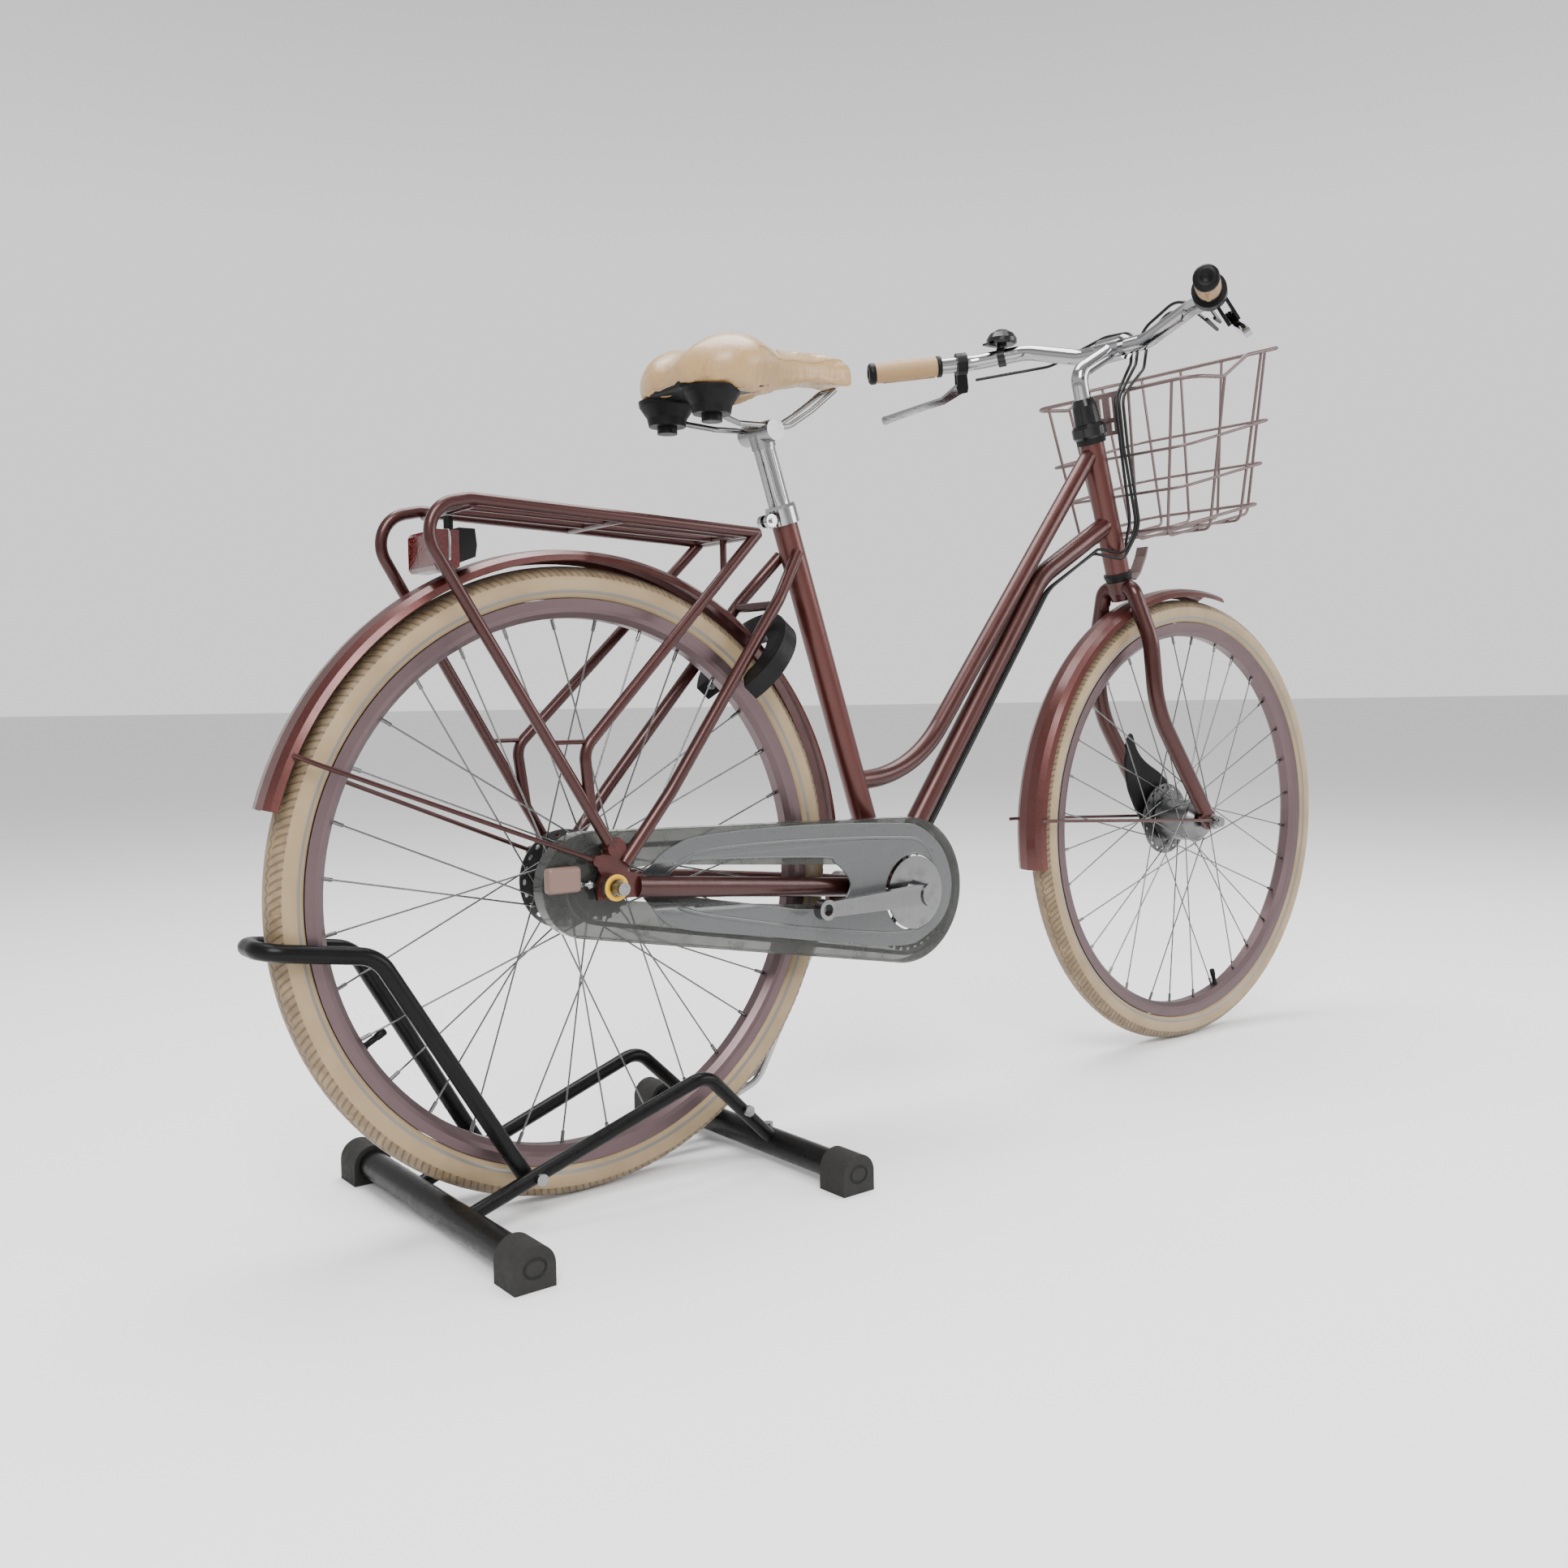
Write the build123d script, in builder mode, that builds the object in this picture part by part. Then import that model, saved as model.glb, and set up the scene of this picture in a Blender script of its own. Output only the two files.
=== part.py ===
from build123d import *
from math import cos, sin, radians, degrees, atan2, pi
import os

os.makedirs("parts", exist_ok=True)

# A step-through town bicycle with its rear wheel parked in a tubular floor stand.
# Millimetres. +X runs from the rear wheel to the front wheel, +Y to the rider's left, +Z up.
# The floor is Z = 0 and the origin is on the floor under the middle of the whole object.
# Lengths written as x in the helpers below are measured from the rear axle.

REAR_X = -542.5
WHEELBASE = 1105.0
TYRE_RADIUS = 350.0
TYRE_WIDTH = 40.0
TYRE_WALL = 3.0
RIM_INNER_RADIUS = 293.0
RIM_WIDTH = 29.0
SPOKE_COUNT = 32
DISC_RADIUS = 56.5
DISC_SLOTS = 22
SPOKE_RADIUS = 1.0
GUARD_RADIUS = 364.0
GUARD_WIDTH = 54.0
GUARD_WALL = 1.4
BB_X = 457.0
BB_Z = 300.0
CRANK_LENGTH = 170.0
CHAINLINE = 47.0
CHAINRING_TEETH = 38
SPROCKET_TEETH = 19
CHAIN_PITCH = 12.7
SEAT_ANGLE = 71.4
SEAT_TUBE_RADIUS = 16.0
SEAT_TUBE_LENGTH = 512.0
SEATPOST_RADIUS = 13.6
HEAD_ANGLE = 72.3
HEAD_TUBE_LENGTH = 197.0
HEAD_TUBE_RADIUS = 18.0
STEERER_RADIUS = 12.7
UPPER_TUBE_RADIUS = 12.7
DOWN_TUBE_RADIUS = 14.5
BAR_RADIUS = 12.0
GRIP_RADIUS = 16.5
RUNNING = 0.05
STAND_BAR_RADIUS = 16.0
STAND_BAR_HALF = 190.0
STAND_BAR_Z = 22.0
CAP_LENGTH = 26.0


def at(x, y, z):
    """Point given from the rear axle in X and from the floor in Z."""
    return Vector(REAR_X + x, y, z)


REAR_AXLE = at(0, 0, TYRE_RADIUS)
FRONT_AXLE = at(WHEELBASE, 0, TYRE_RADIUS)
BB = at(BB_X, 0, BB_Z)
SEAT_DIR = Vector(-cos(radians(SEAT_ANGLE)), 0, sin(radians(SEAT_ANGLE)))
STEER_DIR = Vector(-cos(radians(HEAD_ANGLE)), 0, sin(radians(HEAD_ANGLE)))
AHEAD_DIR = Vector(sin(radians(HEAD_ANGLE)), 0, cos(radians(HEAD_ANGLE)))
HEAD_BOTTOM = at(944, 0, 736)
LEFT_DIR = Vector(0, 1, 0)
WHEEL_AXIS = Vector(0, -1, 0)


def seat(t):
    """Point on the seat tube's axis, t above the bottom bracket."""
    return BB + SEAT_DIR * t


def steer(t, ahead=0, left=0):
    """Point by the steering axis, t above the head tube's lower end."""
    return HEAD_BOTTOM + STEER_DIR * t + AHEAD_DIR * ahead + LEFT_DIR * left


def bar(start, end, radius, bore=0, mode=Mode.ADD):
    """Round bar or tube from one point to another."""
    run = end - start
    with BuildSketch(Plane(origin=start, z_dir=run)) as ring:
        Circle(radius)
        if bore:
            Circle(bore, mode=Mode.SUBTRACT)
    extrude(ring.sketch, amount=run.length, mode=mode)


def bent(points, radius, bends, bore=0, tall=0, mode=Mode.ADD):
    """Round bar or tube along straight runs joined by tangent arcs; tall makes it an upright oval."""
    with BuildLine() as route:
        FilletPolyline(*points, radius=bends)
    with BuildSketch(Plane(origin=route.line @ 0, x_dir=(route.line % 0).cross(Vector(0, 0, 1)),
                           z_dir=route.line % 0) if tall else
                     Plane(origin=route.line @ 0, z_dir=route.line % 0)) as ring:
        if tall:
            Ellipse(radius, tall)
        else:
            Circle(radius)
        if bore:
            Circle(bore, mode=Mode.SUBTRACT)
    sweep(ring.sketch, path=route.line, mode=mode)


def turned(origin, axis, profile, mode=Mode.ADD):
    """Solid of revolution from (distance along axis, radius) corners."""
    side = axis.cross(Vector(0.31, 0.17, 0.93))
    with BuildSketch(Plane(origin=origin, x_dir=axis, z_dir=axis.cross(side))) as section:
        with BuildLine():
            Polyline(*profile, close=True)
        make_face()
    revolve(section.sketch, axis=Axis(origin, axis), mode=mode)


def ring_about_y(centre, profile, start=0, arc=360, mode=Mode.ADD):
    """Revolve (radius, y) corners about the Y direction, from the angle start above +X."""
    radial = Vector(cos(radians(start)), 0, sin(radians(start)))
    up = Vector(-sin(radians(start)), 0, cos(radians(start)))
    with BuildSketch(Plane(origin=centre, x_dir=radial, z_dir=up)) as section:
        with BuildLine():
            Polyline(*profile, close=True)
        make_face()
    revolve(section.sketch, axis=Axis(centre, WHEEL_AXIS), revolution_arc=arc, mode=mode)


def plate(origin, outline, thickness, normal=WHEEL_AXIS, right=Vector(1, 0, 0), mode=Mode.ADD):
    """Flat plate from corners in a plane, grown both ways by half its thickness."""
    with BuildSketch(Plane(origin=origin, x_dir=right, z_dir=normal)) as face:
        with BuildLine():
            Polyline(*outline, close=True)
        make_face()
    extrude(face.sketch, amount=thickness / 2, both=True, mode=mode)


def along(start, end, t):
    """Point a distance t from start towards end."""
    return start + (end - start).normalized() * t


def keep(part, name):
    """Label a finished piece and write it out."""
    part.part.label = name
    export_step(part.part, "parts/" + name + ".step")


# ------------------------------------------------------------------ floor stand
REAR_BAR_X = -180.0
FRONT_BAR_X = 222.0
RAIL_RADIUS = 8.0
HOOP_RADIUS = 9.0

with BuildPart() as stand_bars:
    for bar_x in (REAR_BAR_X, FRONT_BAR_X):
        bar(at(bar_x, -STAND_BAR_HALF, STAND_BAR_Z), at(bar_x, STAND_BAR_HALF, STAND_BAR_Z),
            STAND_BAR_RADIUS, bore=14.0)

with BuildPart() as stand_end_caps:
    for bar_x in (REAR_BAR_X, FRONT_BAR_X):
        for side in (-1, 1):
            inner = at(bar_x, side * (STAND_BAR_HALF - 16), 0)
            with BuildSketch(Plane(origin=inner, x_dir=(-side, 0, 0), z_dir=(0, side, 0))) as cap:
                with BuildLine():
                    Line((-22, 0), (22, 0))
                    Line((22, 0), (22, 22))
                    RadiusArc((22, 22), (-22, 22), -22)
                    Line((-22, 22), (-22, 0))
                make_face()
            extrude(cap.sketch, amount=CAP_LENGTH + 16)
            bar(inner - LEFT_DIR * side + Vector(0, 0, STAND_BAR_Z),
                at(bar_x, side * STAND_BAR_HALF, STAND_BAR_Z), STAND_BAR_RADIUS + 0.1, mode=Mode.SUBTRACT)

with BuildPart() as stand_rails:
    for side in (-1, 1):
        bent([at(REAR_BAR_X, side * 62, STAND_BAR_Z + 2), at(117, side * 73, 124),
              at(FRONT_BAR_X, side * 66, STAND_BAR_Z)], RAIL_RADIUS, 30)
    for bar_x in (REAR_BAR_X, FRONT_BAR_X):
        bar(at(bar_x, -STAND_BAR_HALF, STAND_BAR_Z), at(bar_x, STAND_BAR_HALF, STAND_BAR_Z),
            STAND_BAR_RADIUS, mode=Mode.SUBTRACT)

with BuildPart() as stand_hoop:
    bent([at(-98, -47.5, 44), at(-250, -33, 300), at(-362, -32, 317),
          at(-362, 32, 317), at(-250, 33, 300), at(-98, 47.5, 44)],
         HOOP_RADIUS, [38, 24, 24, 38], bore=7.4)

with BuildPart() as stand_bolts:
    for side in (-1, 1):
        bar(at(-96, side * 74.0, 50.5), at(-96, side * 78, 50.5), 6.5)
        bar(at(172, side * 78.8, 73), at(172, side * 82.6, 73), 6.5)
        bar(at(FRONT_BAR_X, side * 50, STAND_BAR_Z + 16.1), at(FRONT_BAR_X, side * 50, STAND_BAR_Z + 21), 6.5)

# ------------------------------------------------------------------ wheels


def wheel_tyre(centre):
    """Hollow tyre, open between its beads."""
    half = TYRE_WIDTH / 2
    middle = TYRE_RADIUS - half
    with BuildSketch(Plane(origin=centre, x_dir=(1, 0, 0), z_dir=(0, 0, 1))) as section:
        with Locations((middle, 0)):
            Circle(half)
            Circle(half - TYRE_WALL, mode=Mode.SUBTRACT)
        with Locations((middle - half, 0)):
            Rectangle(14, 17, mode=Mode.SUBTRACT)
    revolve(section.sketch, axis=Axis(centre, WHEEL_AXIS))


def wheel_rim(centre):
    """Single-wall rim: spoke bed, shoulders and two flanges."""
    r = RIM_INNER_RADIUS
    half = RIM_WIDTH / 2
    right = [(r, 7), (r + 6, 13), (r + 11, half), (r + 21, half), (r + 21, half - 2),
             (r + 18.3, half - 2), (r + 18.3, 9), (r + 12, 8), (r + 5, 5), (r + 2.2, 2)]
    left = [(radius, -y) for radius, y in reversed(right)]
    ring_about_y(centre, right + left)


def wheel_spokes(centre, flange_radius, flange_y, dish=0):
    """Crossed spokes with a nipple at the rim end of each."""
    pitch = 360 / SPOKE_COUNT
    for index in range(SPOKE_COUNT):
        side = 1 if index % 2 else -1
        lean = 1 if (index // 2) % 2 else -1
        rim_angle = radians(pitch * (index + 0.5))
        hub_angle = rim_angle + radians(lean * 67.5)
        hub_y = side * flange_y + dish + lean * 2.6
        foot = centre + Vector(cos(hub_angle) * flange_radius, hub_y, sin(hub_angle) * flange_radius)
        rim_hole = RIM_INNER_RADIUS - 0.5
        head = centre + Vector(cos(rim_angle) * rim_hole, side * 2.2, sin(rim_angle) * rim_hole)
        bar(foot, head, SPOKE_RADIUS)
        bar(along(head, foot, 12), head, 2.1)


def disc_slots(centre, y):
    """Ring of cooling slots near the edge of a brake disc."""
    with BuildSketch(Plane(origin=centre + LEFT_DIR * y, x_dir=(1, 0, 0), z_dir=WHEEL_AXIS)) as slots:
        with PolarLocations(DISC_RADIUS - 6, DISC_SLOTS):
            SlotOverall(6.4, 3.6, rotation=90)
    extrude(slots.sketch, amount=8, both=True, mode=Mode.SUBTRACT)


with BuildPart() as rear_tyre:
    wheel_tyre(REAR_AXLE)

with BuildPart() as rear_rim:
    wheel_rim(REAR_AXLE)

with BuildPart() as rear_spokes:
    wheel_spokes(REAR_AXLE, 36.0, 29.0)

with BuildPart() as rear_hub:
    turned(REAR_AXLE, LEFT_DIR,
           [(-39.5, 5 + RUNNING), (-39.5, 22), (-34, 24), (-30.5, 34), (-27.5, 34), (-27.5, 24),
            (27.5, 24), (27.5, 34), (30.5, 34), (34, 24), (34, DISC_RADIUS), (35.6, DISC_RADIUS), (35.6, 44),
            (53, 44), (56, 38), (56, 14), (58, 14), (58, 5 + RUNNING)])
    disc_slots(REAR_AXLE, 34)

with BuildPart() as front_tyre:
    wheel_tyre(FRONT_AXLE)

with BuildPart() as front_rim:
    wheel_rim(FRONT_AXLE)

with BuildPart() as front_spokes:
    wheel_spokes(FRONT_AXLE, 36.0, 27.0)

with BuildPart() as front_hub:
    turned(FRONT_AXLE, LEFT_DIR,
           [(-44, 5 + RUNNING), (-44, 12), (-40, 24), (-31, 31), (-28.5, 34), (-25.5, 34), (-25.5, 32.5),
            (25.5, 32.5), (25.5, 34), (28.5, 34), (31, 30), (31, DISC_RADIUS), (32.6, DISC_RADIUS),
            (32.6, 42), (40, 42), (41.5, 38), (41.5, 12), (48, 12), (48, 5 + RUNNING)])
    disc_slots(FRONT_AXLE, 31)

# ------------------------------------------------------------------ frame
with BuildPart() as bottom_bracket:
    turned(BB, LEFT_DIR, [(-34, 8 + RUNNING), (-34, 20), (34, 20), (34, 8 + RUNNING)])

with BuildPart() as seat_tube:
    bar(seat(0), seat(SEAT_TUBE_LENGTH), SEAT_TUBE_RADIUS, bore=SEATPOST_RADIUS + RUNNING)
    bar(BB - LEFT_DIR * 60, BB + LEFT_DIR * 60, 20, mode=Mode.SUBTRACT)

with BuildPart() as head_tube:
    bar(steer(0), steer(HEAD_TUBE_LENGTH), HEAD_TUBE_RADIUS, bore=15.0)

with BuildPart() as upper_tube:
    bent([at(408, 0, 443), at(514, 0, 450), at(876, 0, 903)], UPPER_TUBE_RADIUS, 180)
    bar(seat(60), seat(300), SEAT_TUBE_RADIUS, mode=Mode.SUBTRACT)
    bar(steer(60), steer(HEAD_TUBE_LENGTH + 40), HEAD_TUBE_RADIUS, mode=Mode.SUBTRACT)

with BuildPart() as down_tube:
    bent([BB, at(768, 0, 722), at(926, 0, 812)], DOWN_TUBE_RADIUS, 110)
    bar(BB - LEFT_DIR * 60, BB + LEFT_DIR * 60, 20, mode=Mode.SUBTRACT)
    bar(seat(0), seat(200), SEAT_TUBE_RADIUS, mode=Mode.SUBTRACT)
    bar(steer(-40), steer(HEAD_TUBE_LENGTH), HEAD_TUBE_RADIUS, mode=Mode.SUBTRACT)

DROPOUT = [(-16, -14), (42, -14), (42, 10), (22, 15), (23, 34), (19, 47), (12, 53), (3, 51), (-3, 38),
           (-15, 34), (-16, 21), (-11, 13), (-16, 4)]

with BuildPart() as chainstays:
    for side in (-1, 1):
        bent([at(446, side * 23, 303), at(372, side * 32, 312), at(34, side * 66, 347)], 8.8, 300, tall=12.0)
        plate(at(0, side * 65, TYRE_RADIUS),
              DROPOUT, 5)
        bar(at(0, side * 60, TYRE_RADIUS), at(0, side * 70, TYRE_RADIUS), 5.1, mode=Mode.SUBTRACT)
    bar(at(386, -30, 311), at(386, 30, 311), 7.0)
    plate(at(392, 20, 284), [(-14, -16), (16, -16), (16, 24), (-14, 24)], 8)
    bar(at(392, 14, 276), at(392, 26, 276), 5.05, mode=Mode.SUBTRACT)
    bar(BB - LEFT_DIR * 60, BB + LEFT_DIR * 60, 20, mode=Mode.SUBTRACT)

with BuildPart() as seatstays:
    for side in (-1, 1):
        bent([at(18, side * 66, 374), at(80, side * 67, 449), at(258, side * 40, 670),
              at(306, side * 17, 729)], 7.5, [120, 60])
    bar(at(253, -42, 663), at(253, 42, 663), 5.5)
    bar(seat(100), seat(SEAT_TUBE_LENGTH), SEAT_TUBE_RADIUS, mode=Mode.SUBTRACT)
    for side in (-1, 1):
        plate(at(0, side * 65, TYRE_RADIUS),
              DROPOUT, 5,
              mode=Mode.SUBTRACT)

with BuildPart() as headset_cups:
    turned(steer(0), STEER_DIR, [(-11.5, STEERER_RADIUS + RUNNING), (-11.5, 19), (-4, 21.5), (0, 21.5),
                                 (0, STEERER_RADIUS + RUNNING)])
    turned(steer(HEAD_TUBE_LENGTH), STEER_DIR, [(0, STEERER_RADIUS + RUNNING), (0, 21), (8, 22),
                                                (8, STEERER_RADIUS + RUNNING)])

with BuildPart() as seat_clamp:
    bar(seat(SEAT_TUBE_LENGTH - 20), seat(SEAT_TUBE_LENGTH), 19.5, bore=SEAT_TUBE_RADIUS)
    turned(seat(SEAT_TUBE_LENGTH), SEAT_DIR, [(0, SEATPOST_RADIUS + RUNNING), (0, 19.5), (4, 18.5),
                                              (4, SEATPOST_RADIUS + RUNNING)])
    for side in (-1, 1):
        bar(seat(SEAT_TUBE_LENGTH - 10) + Vector(-24, side * 3, -8),
            seat(SEAT_TUBE_LENGTH - 10) + Vector(-24, side * 10, -8), 8)
        bar(seat(SEAT_TUBE_LENGTH - 10) + Vector(-14, side * 6.5, -5),
            seat(SEAT_TUBE_LENGTH - 10) + Vector(-24, side * 6.5, -8), 3.4)
    bar(seat(SEAT_TUBE_LENGTH - 10) + Vector(-24, -14, -8), seat(SEAT_TUBE_LENGTH - 10) + Vector(-24, 14, -8), 3)
    bar(seat(SEAT_TUBE_LENGTH - 60), seat(SEAT_TUBE_LENGTH), SEAT_TUBE_RADIUS, mode=Mode.SUBTRACT)


def guard(centre, start, arc):
    """Mudguard blade: a shallow channel bent round the tyre."""
    half = GUARD_WIDTH / 2
    r = GUARD_RADIUS
    w = GUARD_WALL
    outer = [(r - 9, half), (r - 3, half - 4), (r + 2, half - 12), (r + 4, 0),
             (r + 2, 12 - half), (r - 3, 4 - half), (r - 9, -half)]
    inner = [(radius - w * 0.8, y * (1 - w / half)) for radius, y in reversed(outer)]
    ring_about_y(centre, outer + inner, start, arc)


with BuildPart() as rear_mudguard:
    guard(REAR_AXLE, 3, 161)

with BuildPart() as rear_mudguard_stays:
    for side in (-1, 1):
        bent([at(-326, side * 30.5, 503), at(-300, side * 33, 492), at(-20, side * 73, 380)], 2.5, 40)
        bar(at(-20, side * 67.7, 380), at(-20, side * 76, 380), 6)

# Carrier over the rear wheel: two side hoops, a front loop, deck rungs and link plates.
CARRIER_RADIUS = 6.4
DECK_Z = 748.0

with BuildPart() as rear_carrier:
    for side in (-1, 1):
        bent([at(-2, side * 75, 393), at(-214, side * 60, 742), at(-150, side * 60, 756),
              at(214, side * 58, DECK_Z - 4)], CARRIER_RADIUS, [34, 30])
        bent([at(-26, side * 73, 432), at(-34, side * 76, 500), at(214, side * 58, DECK_Z - 4)],
             CARRIER_RADIUS, 26)
        bar(at(-32, side * 75, 508), at(-70, side * 70, 508), 2.6)
        bar(at(-2, side * 67.6, 393), at(-2, side * 81, 393), 8.5)
        bar(at(-150, side * 22, 754), at(206, side * 22, DECK_Z - 3), 4.5)
    bar(at(214, -58, DECK_Z - 4), at(214, 58, DECK_Z - 4), CARRIER_RADIUS)
    for rung in (-146, 30, 206):
        bar(at(rung, -60, DECK_Z + (206 - rung) * 0.02 - 4), at(rung, 60, DECK_Z + (206 - rung) * 0.02 - 4), 4.5)
    bar(at(206, 0, 745), at(206, 0, 700), 4)
    ring_about_y(REAR_AXLE, [(GUARD_RADIUS + 4.2, 40), (GUARD_RADIUS + 4.2, -40), (200, -40), (200, 40)],
                 0, 180, mode=Mode.SUBTRACT)

with BuildPart() as tail_light:
    plate(at(-139, 0, 707), [(-10, -13), (8, -6), (10, 6), (8, 23), (-10, 23)], 62)
    bar(at(-146, 0, 745), at(-146, 0, 728), 5)

with BuildPart() as tail_light_lens:
    plate(at(-165, 0, 707), [(-12, -17), (-9, -21), (9, -21), (15.6, -17), (15.6, 20), (-9, 20), (-12, 16)], 64)

# ------------------------------------------------------------------ crank, chain and case
RING_RADIUS = CHAIN_PITCH * CHAINRING_TEETH / (2 * pi)
SPROCKET_RADIUS = CHAIN_PITCH * SPROCKET_TEETH / (2 * pi)


def toothed(centre, teeth, pitch_radius, bore):
    """Toothed ring on the chain line."""
    with BuildSketch(Plane(origin=centre - LEFT_DIR * CHAINLINE, x_dir=(1, 0, 0), z_dir=(0, -1, 0))) as face:
        Circle(pitch_radius - 4)
        with PolarLocations(pitch_radius - 2.5, teeth):
            Rectangle(5, 5.4)
        Circle(bore, mode=Mode.SUBTRACT)
    extrude(face.sketch, amount=1.5, both=True)


with BuildPart() as chainring:
    toothed(BB, CHAINRING_TEETH, RING_RADIUS, 62)
    for arm in range(5):
        angle = radians(72 * arm + 20)
        bar(BB + Vector(cos(angle) * 12, -CHAINLINE, sin(angle) * 12),
            BB + Vector(cos(angle) * 66, -CHAINLINE, sin(angle) * 66), 4)
    turned(BB, LEFT_DIR, [(-78.4, 8), (-78.4, 15), (-63, 17), (-63, 47), (-61, 47), (-60, 24), (-42, 18),
                          (-42, 8)])

with BuildPart() as crank_axle:
    bar(BB - LEFT_DIR * 91, BB + LEFT_DIR * 91, 8)

with BuildPart() as cranks:
    for side in (-1, 1):
        hub = BB + LEFT_DIR * side * 85
        eye = hub + Vector(side * CRANK_LENGTH, 0, side * 2.7)
        with BuildSketch(Plane(origin=hub, x_dir=eye - hub, z_dir=(0, side, 0))) as arm:
            with BuildLine():
                Polyline((0, -13), (CRANK_LENGTH, -9), (CRANK_LENGTH, 9), (0, 13), close=True)
            make_face()
        extrude(arm.sketch, amount=5.5, both=True)
        bar(hub - LEFT_DIR * side * 6.5, hub + LEFT_DIR * side * 8, 15)
        bar(eye - LEFT_DIR * side * 6.5, eye + LEFT_DIR * side * 6.5, 12.5)
        bar(eye - LEFT_DIR * 20, eye + LEFT_DIR * 20, 7.1, mode=Mode.SUBTRACT)
    bar(BB - LEFT_DIR * 91, BB + LEFT_DIR * 91, 8, mode=Mode.SUBTRACT)

with BuildPart() as rear_sprocket:
    toothed(REAR_AXLE, SPROCKET_TEETH, SPROCKET_RADIUS, 10)
    turned(REAR_AXLE, LEFT_DIR, [(-53, 5 + RUNNING), (-53, 13), (-40, 20), (-40, 5 + RUNNING)])


def belt(offset_ring, offset_sprocket, y, depth, mode=Mode.ADD, rear=REAR_AXLE, front=BB):
    """Loop-shaped slab round the two sprocket centres."""
    with BuildSketch(Plane(origin=rear - LEFT_DIR * y, x_dir=(1, 0, 0), z_dir=(0, -1, 0))) as loop:
        Circle(offset_sprocket)
        with Locations((front.X - rear.X, front.Z - rear.Z)):
            Circle(offset_ring)
        make_hull()
    extrude(loop.sketch, amount=depth, mode=mode)


with BuildPart() as chain:
    belt(RING_RADIUS + 5.8, SPROCKET_RADIUS + 5.8, CHAINLINE - 3.5, 7)
    belt(RING_RADIUS + 0.6, SPROCKET_RADIUS + 0.6, CHAINLINE - 4.5, 9, mode=Mode.SUBTRACT)

CASE_REAR = at(-20, 0, 352)
CASE_FRONT = at(450, 0, 303)
CASE_OUTER_Y = 57.0

with BuildPart() as chaincase:
    belt(94, 58, 38, CASE_OUTER_Y - 38, rear=CASE_REAR, front=CASE_FRONT)
    belt(92, 56, 37, CASE_OUTER_Y - 39, mode=Mode.SUBTRACT, rear=CASE_REAR, front=CASE_FRONT)
    with BuildSketch(Plane(origin=BB - LEFT_DIR * 50, x_dir=(1, 0, 0), z_dir=(0, -1, 0))) as hole:
        Circle(54)
    extrude(hole.sketch, amount=12, mode=Mode.SUBTRACT)
    bar(REAR_AXLE - LEFT_DIR * 50, REAR_AXLE - LEFT_DIR * 62, 16, mode=Mode.SUBTRACT)
    plate(at(0, -56, 0), [(22, 332), (22, 366), (60, 368), (330, 346), (352, 332), (352, 306), (330, 296),
                          (60, 326)], 8, mode=Mode.SUBTRACT, right=Vector(1, 0, 0))

with BuildPart() as rear_axle:
    bar(REAR_AXLE - LEFT_DIR * 93, REAR_AXLE + LEFT_DIR * 93, 5)
    for side in (-1, 1):
        bar(REAR_AXLE + LEFT_DIR * side * (58.5 if side > 0 else 53.5), REAR_AXLE + LEFT_DIR * side * 62.4, 9)
        bar(REAR_AXLE + LEFT_DIR * side * 67.6, REAR_AXLE + LEFT_DIR * side * 71, 13)
        with BuildSketch(Plane(origin=REAR_AXLE + LEFT_DIR * side * 71, z_dir=(0, side, 0))) as nut:
            RegularPolygon(9, 6)
        extrude(nut.sketch, amount=16)
        bar(REAR_AXLE + LEFT_DIR * side * 86, REAR_AXLE + LEFT_DIR * side * 96, 7.2)

# ------------------------------------------------------------------ ring lock, kickstand
STAY_ANGLE = 50.5
STAY_DIR = Vector(cos(radians(STAY_ANGLE)), 0, sin(radians(STAY_ANGLE)))
FRONT_OF_STAY = Vector(sin(radians(STAY_ANGLE)), 0, -cos(radians(STAY_ANGLE)))
LOCK_CENTRE = REAR_AXLE + STAY_DIR * 341 + FRONT_OF_STAY * 27
SHACKLE_RADIUS = 4.5
LOCK_RING = 55.0
LOCK_PLANE = Plane(origin=LOCK_CENTRE, x_dir=LEFT_DIR, z_dir=LEFT_DIR.cross(STAY_DIR))


def arc_rod(radius, first, last, thickness, mode=Mode.ADD):
    """Round rod bent to part of a circle about the lock's centre."""
    with BuildLine(LOCK_PLANE) as curve:
        CenterArc((0, 0), radius, first, last - first)
    with BuildSketch(Plane(origin=curve.line @ 0, z_dir=curve.line % 0)) as ring:
        Circle(thickness)
    sweep(ring.sketch, path=curve.line, mode=mode)


with BuildPart() as lock_body:
    with BuildSketch(LOCK_PLANE) as horseshoe:
        Circle(69)
        with BuildLine():
            Polyline((0, 0), (200, -200), (-200, -200), close=True)
        make_face(mode=Mode.SUBTRACT)
        Circle(41, mode=Mode.SUBTRACT)
    extrude(horseshoe.sketch, amount=11, both=True)
    arc_rod(LOCK_RING, -50, 230, SHACKLE_RADIUS + 0.3, mode=Mode.SUBTRACT)
    ring_about_y(REAR_AXLE, [(GUARD_RADIUS + 6, 34), (GUARD_RADIUS + 6, -34), (300, -34), (300, 34)],
                 10, 80, mode=Mode.SUBTRACT)

with BuildPart() as lock_shackle:
    arc_rod(LOCK_RING, -44, 70, SHACKLE_RADIUS)

with BuildPart() as kickstand:
    bent([at(392, 30, 276), at(380, 32, 262), at(276, 42, 67), at(84, 36, 7.5)], 6.0, [12, 34])
    bar(at(392, 12, 276), at(392, 36, 276), 5)

# ------------------------------------------------------------------ seatpost and saddle
CLAMP = seat(602)

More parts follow.
